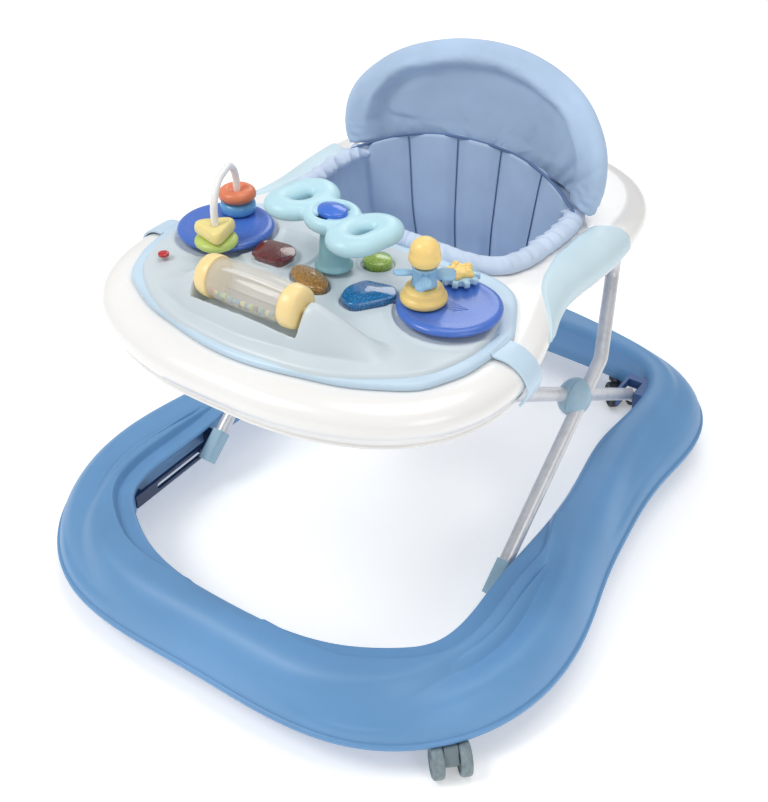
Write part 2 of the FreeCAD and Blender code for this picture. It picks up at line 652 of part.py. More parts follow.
# ---------------------------------------------------------------- play tray
DRUM_AT = (-8.0, -226.0, 374.0)
DRUM_R = 20.0
DRUM_END_R = 16.5
DRUM_WALL = 1.5
DRUM_HALF = 42.0
DRUM_CAP = 11.0
DISC_AT = (124.0, -127.0)
DISC_R = 46.0
FIGURE_AT = (104.0, -137.0)
FLOWER_AT = (112.0, -92.0)
ARCH_FRONT = (-104.0, -163.0)
ARCH_REAR = (-129.0, -102.0)
ARCH_R = 3.5
ARCH_TOP = 418.0
ARCH_BEND = 26.0
DISC_TOP = DECK_TOP + 6.0
COLUMN_AT = (0.0, -124.0)
WHEEL_LOW = 394.0
WHEEL_HIGH = 406.0
BUTTON_TRAVEL = 2.0
SHELL = 2.5                 # wall of the play tray's mouldings
STUB_R = 2.5                # stub axles of the drum and the flower
POST_R = 4.0                # the figure's post


CLIP_Y = -152.0             # front edge of the clip arm
CLIP_WIDTH = 24.0


def clip_arm():
    """A strap from the plate down over the tray's rim, clear of its bulge."""
    path = [(170, TRAY_TOP + 1.5), (196, TRAY_TOP + 1.5), (208, 330), (213.5, 322), (213.5, 311),
            (207, TRAY_RIM - 3)]
    outer = [(x + 1.8, z + 2.2) for x, z in path]
    outer[-1] = (path[-1][0] + 2.5, path[-1][1])
    outer[0] = (path[0][0], path[0][1] + 2.2)
    corners = [V(x, CLIP_Y, z) for x, z in path + outer[::-1]]
    return polygon_face(corners).extrude(V(0, CLIP_WIDTH, 0))


def play_plate():
    """The light plate under the play deck, with a clip arm each side."""
    profile = [(0, TRAY_TOP + 0.02), (1.5, PLATE_TOP - 3), (0, PLATE_TOP - 1), (-4, PLATE_TOP)]
    plate = slab(PLATE_EDGE, profile, PLAY_CENTRE)
    hollow = slab(PLATE_EDGE, [(-SHELL, TRAY_TOP - 1), (-SHELL, PLATE_TOP - SHELL)], PLAY_CENTRE)
    arm = clip_arm()
    return plate.cut(hollow).fuse([arm, mirrored(arm)])


RED_KEY = [(-76, -128), (-47, -124), (-35, -136), (-37, -155), (-68, -157)]
BLUE_KEY = [(31, -150), (37, -168), (54, -173), (79, -139), (68, -124), (38, -130)]
AMBER_AT = (-5.0, -154.0)
AMBER_SIZE = (24.0, 13.0)
GREEN_AT = (27.0, -94.0)
GREEN_R = 14.0
AMBER_TURN = -22.0
KEY_GAP = 0.5               # clearance round a key, and below it when pressed
KEY_TOP = DECK_TOP + 5.0
KEY_FOOT = DECK_TOP - 5.5


def upright_edges(prism):
    return [e for e in prism.Edges if abs(e.Vertexes[0].Z - e.Vertexes[-1].Z) > 1]


def polygon_key(points, grow, z0, z1):
    """A rounded prism over plan corners."""
    prism = plan_face(points, z0).extrude(V(0, 0, z1 - z0))
    prism = prism.makeFillet(5, upright_edges(prism))
    if grow:
        offset_face = [f for f in prism.Faces if f.normalAt(0, 0).z < -0.9][0].makeOffset2D(grow)
        prism = offset_face.extrude(V(0, 0, z1 - z0))
    return prism


def oval_key(grow, z0, z1):
    oval = Part.Ellipse(V(0, 0, 0), AMBER_SIZE[0] + grow, AMBER_SIZE[1] + grow).toShape()
    prism = Part.Face(Part.Wire([oval])).extrude(V(0, 0, z1 - z0))
    prism.rotate(V(0, 0, 0), V(0, 0, 1), AMBER_TURN)
    prism.translate(V(AMBER_AT[0], AMBER_AT[1], z0))
    return prism


def play_deck():
    """The play surface, raised at the front into a cradle for the drum, with a pocket for each key."""
    profile = [(0, PLATE_TOP + 0.02), (0, DECK_TOP - 3), (-3, DECK_TOP - 0.5), (-6, DECK_TOP)]
    deck = slab(DECK_EDGE, profile, PLAY_CENTRE)
    ridge = [(-128, DECK_TOP), (-84, 366), (-70, 378), (52, 378), (70, 364), (112, DECK_TOP)]
    section = [(ridge[0][0], PLATE_TOP + 2)] + ridge + [(ridge[-1][0], PLATE_TOP + 2)]
    x, y, z = DRUM_AT
    hump = polygon_face([V(a, y - 33, b) for a, b in section]).extrude(V(0, 58, 0))
    hump = hump.common(slab(DECK_EDGE, [(-2, PLATE_TOP), (-4, 360), (-14, 380)], PLAY_CENTRE))
    hollow = slab(DECK_EDGE, [(-SHELL, PLATE_TOP - 1), (-SHELL - 4, DECK_TOP - SHELL)], PLAY_CENTRE)
    reach = DRUM_HALF + DRUM_CAP
    drum_space = rod(DRUM_R + 3, (x - reach - 2, y, z), (x + reach + 2, y, z))
    above = box(x - reach - 2, x + reach + 2, y - 2, y + 40, z, z + 30)
    deck = deck.cut(hollow).fuse(hump).cut([drum_space, above])
    axle_holes = rod(STUB_R + RUN, (x - reach - 8, y, z), (x + reach + 8, y, z))
    low = KEY_FOOT - BUTTON_TRAVEL - KEY_GAP
    high = DECK_TOP + 1
    pockets = [polygon_key(RED_KEY, KEY_GAP, low, high), polygon_key(BLUE_KEY, KEY_GAP, low, high),
               oval_key(KEY_GAP, low, high), disc(GREEN_R + KEY_GAP, GREEN_AT[0], GREEN_AT[1], low, high)]
    return keep_largest(deck.cut([axle_holes] + pockets))


def toy_disc():
    x, y = DISC_AT
    puck = disc(DISC_R, x, y, DECK_TOP + 0.02, DISC_TOP)
    return puck.makeFillet(3, [e for e in puck.Edges if e.BoundBox.ZMin > DISC_TOP - 1])


def bead_arch():
    """A bent tube over the left disc that carries the beads."""
    foot = DISC_TOP + 0.02
    top = ARCH_TOP - ARCH_R
    points = [ARCH_FRONT + (foot,), ARCH_FRONT + (top,), ARCH_REAR + (top,), ARCH_REAR + (foot,)]
    return sweep(points, ARCH_BEND, ARCH_R)


BEAD_PLAY = 0.1
WEDGE_R = 21.0              # corners of the yellow bead
WEDGE_BOTTOM = 367.6
WEDGE_HEIGHT = 12.0


def bead(place, z0, z1, radius):
    """A rounded disc threaded on one leg of the arch."""
    puck = disc(radius, place[0], place[1], z0, z1)
    puck = puck.makeFillet(0.3 * (z1 - z0), [e for e in puck.Edges if e.Length > 2 * math.pi * radius - 1])
    return puck.cut(disc(ARCH_R + BEAD_PLAY, place[0], place[1], z0 - 1, z1 + 1))


def yellow_bead():
    """A rounded triangle threaded on the arch's front leg."""
    x, y = ARCH_FRONT
    corners = []
    for turn in (75, 195, 315):
        angle = math.radians(turn)
        corners.append((x + WEDGE_R * math.cos(angle), y + WEDGE_R * math.sin(angle)))
    prism = plan_face(corners, WEDGE_BOTTOM).extrude(V(0, 0, WEDGE_HEIGHT))
    prism = prism.makeFillet(7, upright_edges(prism))
    return prism.cut(disc(ARCH_R + BEAD_PLAY, x, y, WEDGE_BOTTOM - 1, WEDGE_BOTTOM + WEDGE_HEIGHT + 1))


def steering_column():
    x, y = COLUMN_AT
    cone = Part.makeCone(14, 11, WHEEL_LOW - GAP - DECK_TOP - 0.02, V(x, y, DECK_TOP + 0.02))
    return cone.fuse(disc(SPIGOT_R, x, y, WHEEL_LOW - 4, WHEEL_LOW + 6))


WHEEL_TURN = -15.0
BOSS_R = 23.0
SPIGOT_R = 5.0              # the column's top, on which the wheel turns
LOBE = [(12, -15), (50, -31), (66, -25), (66, 25), (50, 31), (12, 15)]
FINGER_HOLE = [(31, -9), (50, -15), (50, 15), (31, 9)]
HORN_SIZE = (16.0, 12.0)


def steering_wheel():
    """A bow-tie of two looped lobes on a round boss, turned a little at rest."""
    lobes = []
    for side in (-1, 1):
        lobe = plan_face([(side * x, y) for x, y in LOBE], WHEEL_LOW)
        lobe = lobe.extrude(V(0, 0, WHEEL_HIGH - WHEEL_LOW))
        lobe = lobe.makeFillet(10, [e for e in upright_edges(lobe) if abs(e.Vertexes[0].X) > 40])
        hole = plan_face([(side * x, y) for x, y in FINGER_HOLE], WHEEL_LOW - 1).extrude(V(0, 0, 20))
        lobes.append(lobe.cut(hole.makeFillet(4, upright_edges(hole))))
    boss = disc(BOSS_R, 0, 0, WHEEL_LOW, WHEEL_HIGH + 1)
    socket = disc(SPIGOT_R + RUN, 0, 0, WHEEL_LOW - 1, WHEEL_LOW + 6.3)
    horn_well = horn_prism(KEY_GAP, WHEEL_LOW + 6.8, WHEEL_HIGH + 5)
    wheel = boss.fuse(lobes).cut([socket, horn_well])
    wheel.rotate(V(0, 0, 0), V(0, 0, 1), WHEEL_TURN)
    wheel.translate(V(COLUMN_AT[0], COLUMN_AT[1], 0))
    return wheel


def horn_prism(grow, z0, z1):
    oval = Part.Ellipse(V(0, 0, z0), HORN_SIZE[0] + grow, HORN_SIZE[1] + grow).toShape()
    return Part.Face(Part.Wire([oval])).extrude(V(0, 0, z1 - z0))


def horn_button():
    button = horn_prism(0, WHEEL_LOW + 9, WHEEL_HIGH + 5.5)
    button.rotate(V(0, 0, 0), V(0, 0, 1), WHEEL_TURN)
    button.translate(V(COLUMN_AT[0], COLUMN_AT[1], 0))
    return button


def drum_barrel():
    """A clear hollow barrel on the drum's axis, fatter in the middle."""
    x, y, z = DRUM_AT
    profile = [(-DRUM_HALF, DRUM_END_R), (-20, DRUM_R), (20, DRUM_R), (DRUM_HALF, DRUM_END_R)]
    inside = [(a, r - DRUM_WALL) for a, r in reversed(profile)]
    corners = [V(x + a, y, z + r) for a, r in profile + inside]
    return polygon_face(corners).revolve(V(x, y, z), V(1, 0, 0), 360)


def drum_cap(side):
    """An end cap with the stub axle on which the drum turns."""
    x, y, z = DRUM_AT
    near = x + side * DRUM_HALF
    far = near + side * DRUM_CAP
    cap = rod(DRUM_R - 0.5, (near + side * 0.02, y, z), (far, y, z))
    ends = [e for e in cap.Edges if e.BoundBox.XLength < 0.1 and abs(e.BoundBox.XMin - far) < 0.1]
    cap = cap.makeFillet(5, ends)
    return cap.fuse(rod(STUB_R, (far - side, y, z), (far + side * 6.5, y, z)))


def drum_beads():
    """Small balls that lie in the barrel."""
    x, y, z = DRUM_AT
    balls = []
    for i in range(9):
        swing = 3.5 if i % 2 else -3.5
        balls.append(Part.makeSphere(3.4, V(x - 30 + 7.5 * i, y + swing, z - 12.5)))
    return group(balls)


def figure_body():
    """A round yellow foot with a post, and the head on top of it."""
    x, y = FIGURE_AT
    foot = disc(20, x, y, DISC_TOP + 0.02, 372)
    foot = foot.makeFillet(5, [e for e in foot.Edges if e.BoundBox.ZMin > 371])
    post = disc(POST_R, x, y, 371, 396)
    head = Part.makeSphere(13.5, V(x, y, 405)).common(disc(30, x, y, 394, 430))
    return foot.fuse([post, head])


def propeller():
    """A ribbed collar with four blades, turning on the figure's post."""
    x, y = FIGURE_AT
    collar = disc(11, x, y, 374, 393)
    blades = []
    for turn in range(4):
        blade = Part.makeBox(26, 13, 7, V(0, -6.5, 381))
        tips = [e for e in blade.Edges if abs(e.Length - 7) < 0.1 and e.BoundBox.XMin > 20]
        blade = blade.makeFillet(5, tips)
        blade.rotate(V(0, 0, 0), V(0, 0, 1), 30 + 90 * turn)
        blade.translate(V(x, y, 0))
        blades.append(blade)
    return collar.fuse(blades).cut(disc(POST_R + RUN, x, y, 360, 400))


def flower_gear():
    """A toothed wheel with a flower on it, turning on a stub."""
    x, y = FLOWER_AT
    wheel = disc(14, x, y, DISC_TOP + 2, 366)
    teeth = []
    for turn in range(10):
        tooth = Part.makeBox(6, 4.4, 6, V(12.5, -2.2, DISC_TOP + 2))
        tooth.rotate(V(0, 0, 0), V(0, 0, 1), 36 * turn)
        tooth.translate(V(x, y, 0))
        teeth.append(tooth)
    petals = []
    for turn in range(5):
        angle = math.radians(72 * turn)
        petals.append(disc(5.2, x + 7 * math.cos(angle), y + 7 * math.sin(angle), 366, 371))
    return wheel.fuse(teeth + petals).cut(disc(STUB_R + RUN, x, y, 350, 369))


def flower_post():
    x, y = FLOWER_AT
    return disc(5, x, y, DISC_TOP + 0.02, DISC_TOP + 1.7).fuse(disc(STUB_R, x, y, DISC_TOP + 1, 368.5))


# ---------------------------------------------------------------- battery box
def battery_box():
    """An open-topped box under the plate for the sound unit and its cells."""
    low, high = BATTERY_Y
    outer = box(-BATTERY_X + 0.5, BATTERY_X - 0.5, low + 0.5, high - 0.5, BATTERY_BOTTOM, TRAY_TOP + 1.9)
    inner = box(-BATTERY_X + 2.5, BATTERY_X - 2.5, low + 2.5, high - 2.5, BATTERY_BOTTOM - 1, TRAY_TOP - 2)
    return outer.cut(inner)


def battery_cover():
    low, high = BATTERY_Y
    return box(-BATTERY_X + 2.6, BATTERY_X - 2.6, low + 2.6, high - 2.6, BATTERY_BOTTOM, BATTERY_BOTTOM + 2)


def batteries():
    return group([rod(5.2, (x - 22.2, -196, 317), (x + 22.2, -196, 317)) for x in (-24, 24)])


def circuit_board():
    return box(-42, 42, -182, -150, 328, 329.6)


def speaker():
    return disc(13, -30, -145, 312, 322)


# ---------------------------------------------------------------- build
def build_base():
    block = base_block()
    shell = base_ring()
    export("base_ring", shell)
    export("slide_rails", both_sides(slide_rail(block)))
    export("rear_brackets", both_sides(rear_bracket(block)))
    export("rear_pivot_pins", both_sides(rear_pivot_pin()))
    export("brake_pads", group(brake_pads(shell)))
    return shell


def left_caster(shape, swivel):
    """A right caster's piece moved to the left stem and turned about it."""
    moved = shape.translated(V(-2 * swivel[0], 0, 0))
    moved.rotate(V(-swivel[0], swivel[1], 0), V(0, 0, 1), LEFT_TURN)
    return moved


def build_casters(shell):
    sockets = []
    for name, wheels in (("front", FRONT_WHEELS), ("rear", REAR_WHEELS)):
        swivel = swivel_point(wheels)
        sockets.append(both_sides(caster_socket(swivel, shell)))
        yoke = caster_yoke(wheels, swivel)
        pair = caster_wheels(wheels, swivel)
        export("yoke_" + name + "_right", yoke)
        export("yoke_" + name + "_left", left_caster(yoke, swivel))
        export("wheels_" + name + "_right", pair)
        export("wheels_" + name + "_left", left_caster(pair, swivel))
    export("caster_sockets", group(sockets))


def build_frame():
    export("rear_leg_right", rear_leg())
    export("rear_leg_left", mirrored(rear_leg()))
    export("height_crossbar", height_crossbar())
    export("hub_inner_halves", both_sides(hub_half(-1)))
    export("hub_bolts", both_sides(hub_bolt()))
    export("front_leg_right", front_leg())
    export("front_leg_left", mirrored(front_leg()))
    export("hub_outer_halves", both_sides(hub_half(1)))
    export("end_caps", both_sides(end_cap()))
    export("slider_pins", both_sides(slider_pin()))


def build_tray():
    shell = tray_shell()
    export("tray_shell", shell)
    export("side_grips", both_sides(side_grip()))
    export("pivot_brackets", both_sides(pivot_bracket(shell)))
    export("pivot_pins", both_sides(pivot_pin()))
    export("crossbar_guides", both_sides(crossbar_guide()))
    export("seat_bag", seat_bag())
    export("seat_rim", seat_rim())
    export("back_hood", back_hood())


def build_play_tray():
    export("play_plate", play_plate())
    export("play_deck", play_deck())
    export("toy_discs", both_sides(toy_disc()))
    export("bead_arch", bead_arch())
    export("bead_green", bead(ARCH_FRONT, DECK_TOP + 6.3, 367.3, 20))
    export("bead_yellow", yellow_bead())
    export("bead_blue", bead(ARCH_REAR, DECK_TOP + 6.3, 371, 17))
    export("bead_orange", bead(ARCH_REAR, 371.3, 383, 18))
    export("steering_column", steering_column())
    export("steering_wheel", steering_wheel())
    export("horn_button", horn_button())
    export("key_red", polygon_key(RED_KEY, 0, KEY_FOOT, KEY_TOP))
    export("key_blue", polygon_key(BLUE_KEY, 0, KEY_FOOT, KEY_TOP))
    export("key_amber", oval_key(0, KEY_FOOT, KEY_TOP))
    export("key_green", disc(GREEN_R, GREEN_AT[0], GREEN_AT[1], KEY_FOOT, KEY_TOP))
    export("drum_barrel", drum_barrel())
    export("drum_caps", group([drum_cap(-1), drum_cap(1)]))
    export("drum_beads", drum_beads())
    export("figure_body", figure_body())
    export("propeller", propeller())
    export("flower_gear", flower_gear())
    export("flower_post", flower_post())
    export("battery_box", battery_box())
    export("battery_cover", battery_cover())
    export("batteries", batteries())
    export("circuit_board", circuit_board())
    export("speaker", speaker())


base_shell = build_base()
build_casters(base_shell)
build_frame()
build_tray()
build_play_tray()
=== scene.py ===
import json
import math

import bmesh
import bpy
import numpy as np
from mathutils import Matrix, Vector


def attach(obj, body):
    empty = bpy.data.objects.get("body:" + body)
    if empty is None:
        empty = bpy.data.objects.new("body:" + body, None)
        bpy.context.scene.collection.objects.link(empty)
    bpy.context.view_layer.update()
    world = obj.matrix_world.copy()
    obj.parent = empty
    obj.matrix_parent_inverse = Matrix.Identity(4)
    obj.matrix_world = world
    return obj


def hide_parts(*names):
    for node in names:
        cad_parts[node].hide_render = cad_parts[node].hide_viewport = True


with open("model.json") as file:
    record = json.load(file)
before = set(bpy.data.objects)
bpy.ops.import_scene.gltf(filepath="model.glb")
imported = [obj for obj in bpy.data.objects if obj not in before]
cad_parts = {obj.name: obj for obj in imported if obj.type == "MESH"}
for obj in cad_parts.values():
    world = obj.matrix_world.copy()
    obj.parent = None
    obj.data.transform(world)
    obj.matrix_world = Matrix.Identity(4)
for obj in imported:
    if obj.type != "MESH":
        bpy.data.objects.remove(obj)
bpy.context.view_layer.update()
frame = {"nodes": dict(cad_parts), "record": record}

# Baby walker. Sizes below are in millimetres, and every mesh is scaled to metres when it is made.
MM = 0.001
BASE_BOTTOM = 33.0
BASE_TOP = 82.0
BASE_CREST = 40.0
TRAY_RIM = 297.6
TRAY_TOP = 336.0
PLATE_TOP = 343.0
DECK_TOP = 352.0
DRUM_AT = (-8.0, -226.0, 374.0)
DRUM_HALF = 42.0
DISC_AT = (124.0, -127.0)
DISC_R = 46.0
DISC_TOP = DECK_TOP + 6.0
FIGURE_AT = (104.0, -137.0)
FLOWER_AT = (112.0, -92.0)
ARCH_FRONT = (-104.0, -163.0)
ARCH_REAR = (-129.0, -102.0)
ARCH_R = 3.5
ARCH_TOP = 418.0
ARCH_BEND = 26.0
COLUMN_AT = (0.0, -124.0)
WHEEL_MID = 400.0
WHEEL_TURN = -15.0
WHEEL_SPACING = 25.0
CASTER_TRAIL = 26.0
SWIVEL_TOE = 43.0
LEFT_TURN = 38.0

# Plan outlines, right half, from the front centre round to the back centre.
BASE_OUTER = [(0, -361), (88, -361), (177, -343), (247.5, -286), (282.5, -200.5), (280.5, -107.5),
              (265, -32), (257, 27), (252, 81), (252, 137), (256, 203), (241, 273), (191, 322), (126, 344),
              (61, 356), (0, 361)]
BASE_INNER = [(0, -303), (60, -300), (113, -287), (160, -260), (193, -232), (207, -195), (208, -140),
              (208, -69), (197, 12), (185, 80), (182, 113), (185, 167), (186, 217), (176, 254), (150, 277),
              (98, 288), (40, 291), (0, 292)]
BASE_LEDGE = [(0, -303), (60, -300), (113, -287), (158, -262), (185, -236), (194.5, -203), (194, -145),
              (195, -72), (194, 12), (185, 80), (182, 113), (185, 167), (186, 217), (176, 254), (150, 277),
              (98, 288), (40, 291), (0, 292)]
TRAY_OUTER = [(0, -294), (52, -292), (105, -280), (153, -255), (188, -212.5), (201.5, -160), (197, -109),
              (184, -63.5), (173, -26), (169, 11), (172, 56), (174, 115), (165, 175), (135, 222), (80, 252),
              (0, 262)]
SEAT_OPENING = [(0, -34), (60, -36), (96, -35), (118, -24), (129, 0), (132, 28), (134, 58), (131, 92),
                (115, 126), (75, 150), (0, 158)]
PLATE_EDGE = [(0, -272), (34, -269), (70, -261), (103, -252), (133, -237), (155, -221), (166, -202),
              (174, -183), (178, -160), (181, -123), (170, -96), (161, -78), (147, -60), (128, -50),
              (90, -47), (0, -47)]
DECK_EDGE = [(0, -270), (21, -269), (71, -262), (103, -251), (130, -234), (153, -212), (167, -182),
             (172, -158), (168, -120), (153, -87), (128, -66), (90, -58), (0, -56)]
ORIGIN = (0.0, 0.0)
TRAY_CENTRE = (0.0, 40.0)
PLAY_CENTRE = (0.0, -160.0)


# ---------------------------------------------------------------- curves in plan
def full_outline(half):
    return half + [(-x, y) for x, y in reversed(half[1:-1])]


def closed_spline(points, count):
    """A smooth closed curve through points, with continuous curvature."""
    p = np.asarray(points, float)
    n = len(p)
    h = np.linalg.norm(np.roll(p, -1, 0) - p, axis=1)
    matrix = np.zeros((n, n))
    right = np.zeros_like(p)
    for i in range(n):
        before = (i - 1) % n
        after = (i + 1) % n
        matrix[i, before] += h[before]
        matrix[i, i] += 2 * (h[before] + h[i])
        matrix[i, after] += h[i]
        right[i] = 6 * ((p[after] - p[i]) / h[i] - (p[i] - p[before]) / h[before])
    bend = np.linalg.solve(matrix, right)
    knots = np.concatenate([[0], np.cumsum(h)])
    t = np.linspace(0, knots[-1], count, endpoint=False)
    k = np.clip(np.searchsorted(knots, t, side="right") - 1, 0, n - 1)
    q = (k + 1) % n
    u = (t - knots[k])[:, None]
    w = (knots[k + 1] - t)[:, None]
    hk = h[k][:, None]
    cubic = (bend[k] * w ** 3 + bend[q] * u ** 3) / (6 * hk)
    return cubic + (p[k] / hk - bend[k] * hk / 6) * w + (p[q] / hk - bend[q] * hk / 6) * u


def outward(loop):
    """Unit vectors that point out of a counter-clockwise plan loop."""
    along = np.roll(loop, -1, 0) - np.roll(loop, 1, 0)
    normal = np.stack([along[:, 1], -along[:, 0]], 1)
    return normal / np.linalg.norm(normal, axis=1)[:, None]


def plan_loop(half, offset=0.0, count=1440):
    loop = closed_spline(full_outline(half), count)
    return loop + outward(loop) * offset


def on_rays(loop, centre, rays):
    """Where evenly turned rays from a centre cross a loop."""
    away = loop - np.array(centre)
    angle = np.arctan2(away[:, 1], away[:, 0])
    order = np.argsort(angle)
    turns = np.linspace(-math.pi, math.pi, rays, endpoint=False)
    radius = np.interp(turns, angle[order], np.linalg.norm(away, axis=1)[order], period=2 * math.pi)
    return np.stack([centre[0] + radius * np.cos(turns), centre[1] + radius * np.sin(turns)], 1)


def level(half, offset, z, centre, rays):
    flat = on_rays(plan_loop(half, offset), centre, rays)
    return np.column_stack([flat, np.full(rays, float(z))])


def circle(centre, radius, z, turn):
    """A level closed edge round a centre; the radius may change with the turn."""
    return np.column_stack([centre[0] + radius * np.cos(turn), centre[1] + radius * np.sin(turn),
                            np.full(len(turn), z)])


def full_turn(count):
    return np.linspace(0, 2 * math.pi, count, endpoint=False)


def inside_distance(points, loop):
    """How far plan points lie inside a loop, measured square to it."""
    inward = -outward(loop)
    found = np.empty(len(points))
    for start in range(0, len(points), 4000):
        chunk = points[start:start + 4000]
        gap = chunk[:, None, :] - loop[None, :, :]
        nearest = np.argmin((gap ** 2).sum(2), 1)
        rows = np.arange(len(chunk))
        found[start:start + 4000] = (gap[rows, nearest] * inward[nearest]).sum(1)
    return found


def smooth_table(xs, ys, x, width):
    """A table read with its corners rounded over a width."""
    fine = np.linspace(min(xs), max(xs), 600)
    step = fine[1] - fine[0]
    reach = max(1, int(width / step))
    window = np.hanning(2 * reach + 1)
    raw = np.interp(fine, xs, ys)
    padded = np.concatenate([np.full(reach, raw[0]), raw, np.full(reach, raw[-1])])
    return np.interp(x, fine, np.convolve(padded, window / window.sum(), "valid"))


def smooth_rows(rows, x, width, column=1):
    return smooth_table([row[0] for row in rows], [row[column] for row in rows], x, width)


def ramp(x, low, high):
    t = np.clip((x - low) / (high - low), 0, 1)
    return t * t * (3 - 2 * t)


def rounded(points, radius, steps=5):
    """A closed plan polygon with its corners rounded to one radius."""
    points = [np.array(p, float) for p in points]
    out = []
    for i, corner in enumerate(points):
        back = points[i - 1] - corner
        forth = points[(i + 1) % len(points)] - corner
        cut = min(radius, 0.45 * np.linalg.norm(back), 0.45 * np.linalg.norm(forth))
        a = corner + back / np.linalg.norm(back) * cut
        b = corner + forth / np.linalg.norm(forth) * cut
        for s in range(steps + 1):
            t = s / steps
            out.append((1 - t) ** 2 * a + 2 * t * (1 - t) * corner + t * t * b)
    return np.array(out)


def resample(loop, count):
    closed = np.vstack([loop, loop[:1]])
    run = np.concatenate([[0], np.cumsum(np.linalg.norm(np.diff(closed, axis=0), axis=1))])
    t = np.linspace(0, run[-1], count, endpoint=False)
    return np.stack([np.interp(t, run, closed[:, k]) for k in range(closed.shape[1])], 1)


# ---------------------------------------------------------------- meshes
def make_object(name, points, faces, material=None, smooth=True):
    mesh = bpy.data.meshes.new(name)
    mesh.from_pydata((np.asarray(points, float) * MM).tolist(), [], faces)
    work = bmesh.new()
    work.from_mesh(mesh)
    bmesh.ops.recalc_face_normals(work, faces=work.faces)
    work.to_mesh(mesh)
    work.free()
    piece = bpy.data.objects.new(name, mesh)
    bpy.context.scene.collection.objects.link(piece)
    if material:
        mesh.materials.append(material)
    if smooth:
        mesh.polygons.foreach_set("use_smooth", [True] * len(mesh.polygons))
    return piece


def grid_faces(rows, cols, wrap_rows, wrap_cols):
    faces = []
    for i in range(rows if wrap_rows else rows - 1):
        for j in range(cols if wrap_cols else cols - 1):
            a = i * cols + j
            b = i * cols + (j + 1) % cols
            c = ((i + 1) % rows) * cols + (j + 1) % cols
            d = ((i + 1) % rows) * cols + j
            faces.append((a, b, c, d))
    return faces


def ring_piece(name, levels, material):
    """A ring from closed edges, the last joined to the first."""
    rows = len(levels)
    cols = len(levels[0])
    return make_object(name, np.vstack(levels), grid_faces(rows, cols, True, True), material)


def capped_piece(name, levels, material, smooth=True):
    """A solid from closed edges, with a fan of faces at each end."""
    rows = len(levels)
    cols = len(levels[0])
    points = list(np.vstack(levels)) + [np.mean(levels[0], 0), np.mean(levels[-1], 0)]
    faces = grid_faces(rows, cols, False, True)
    low = rows * cols
    for j in range(cols):
        k = (j + 1) % cols
        faces.append((low, k, j))
        faces.append((low + 1, (rows - 1) * cols + j, (rows - 1) * cols + k))
    return make_object(name, points, faces, material, smooth)


def lathe(name, profile, place, material, axis="Z", segments=64, ripple=None, smooth=True):
    """A turned solid from (radius, height) pairs, with an optional ripple of the radius."""
    turn = full_turn(segments)
    levels = []
    for radius, height in profile:
        r = np.full(segments, float(radius))
        if ripple is not None:
            r = ripple(r, turn, height)
        a = r * np.cos(turn)
        b = r * np.sin(turn)
        h = np.full(segments, float(height))
        columns = {"Z": (a, b, h), "X": (h, a, b)}[axis]
        levels.append(np.column_stack(columns) + np.array(place, float))
    return capped_piece(name, levels, material, smooth)


def tube_along(name, path, radius, material, segments=20, closed=False):
    """A round tube along 3-D points."""
    path = np.asarray(path, float)
    n = len(path)
    along = np.roll(path, -1, 0) - np.roll(path, 1, 0)
    if not closed:
        along[0] = path[1] - path[0]
        along[-1] = path[-1] - path[-2]
    along /= np.linalg.norm(along, axis=1)[:, None]
    side = np.cross(along[0], [0.21, 0.37, 0.9])
    side /= np.linalg.norm(side)
    turn = full_turn(segments)
    levels = []
    for i in range(n):
        side = side - along[i] * side.dot(along[i])
        side /= np.linalg.norm(side)
        up = np.cross(along[i], side)
        around = np.cos(turn)[:, None] * side + np.sin(turn)[:, None] * up
        r = radius[i] if hasattr(radius, "__len__") else radius
        levels.append(path[i] + around * r)
    if closed:
        return ring_piece(name, levels, material)
    return capped_piece(name, levels, material)


def spline_open(points, count):
    """A smooth open curve through points (Catmull-Rom)."""
    p = np.asarray(points, float)
    p = np.vstack([2 * p[0] - p[1], p, 2 * p[-1] - p[-2]])
    t = np.linspace(0, len(p) - 3, count)
    k = np.minimum(t.astype(int), len(p) - 4)
    u = (t - k)[:, None]
    a, b, c, d = p[k], p[k + 1], p[k + 2], p[k + 3]
    return 0.5 * (2 * b + (c - a) * u + (2 * a - 5 * b + 4 * c - d) * u ** 2
                  + (3 * b - a - 3 * c + d) * u ** 3)


def join(name, pieces):
    """Several meshes as one object; each keeps its material."""
    work = bmesh.new()
    materials = []
    for piece in pieces:
        start = len(work.faces)
        work.from_mesh(piece.data)
        work.faces.ensure_lookup_table()
        slots = list(piece.data.materials)
        for face in work.faces[start:]:
            material = slots[face.material_index]
            if material not in materials:
                materials.append(material)
            face.material_index = materials.index(material)
    mesh = bpy.data.meshes.new(name)
    work.to_mesh(mesh)
    work.free()
    for material in materials:
        mesh.materials.append(material)
    for piece in pieces:
        old = piece.data
        bpy.data.objects.remove(piece)
        bpy.data.meshes.remove(old)
    whole = bpy.data.objects.new(name, mesh)
    bpy.context.scene.collection.objects.link(whole)
    return whole


def apply_modifiers(piece):
    graph = bpy.context.evaluated_depsgraph_get()
    graph.update()
    mesh = bpy.data.meshes.new_from_object(piece.evaluated_get(graph))
    piece.modifiers.clear()
    piece.data = mesh
    return piece


def remeshed(piece, voxel, rounds, factor=0.5):
    """Fuses overlapping shells into one smooth skin."""
    remesh = piece.modifiers.new("fuse", "REMESH")
    remesh.mode = "VOXEL"
    remesh.voxel_size = voxel * MM
    remesh.use_smooth_shade = True
    soften = piece.modifiers.new("soften", "SMOOTH")
    soften.iterations = rounds
    soften.factor = factor
    return apply_modifiers(piece)


def subdivide(piece, levels=1):
    modifier = piece.modifiers.new("subdivide", "SUBSURF")
    modifier.levels = levels
    modifier.render_levels = levels
    return apply_modifiers(piece)


def coordinates(piece):
    co = np.empty(len(piece.data.vertices) * 3)
    piece.data.vertices.foreach_get("co", co)
    return co.reshape(-1, 3) / MM


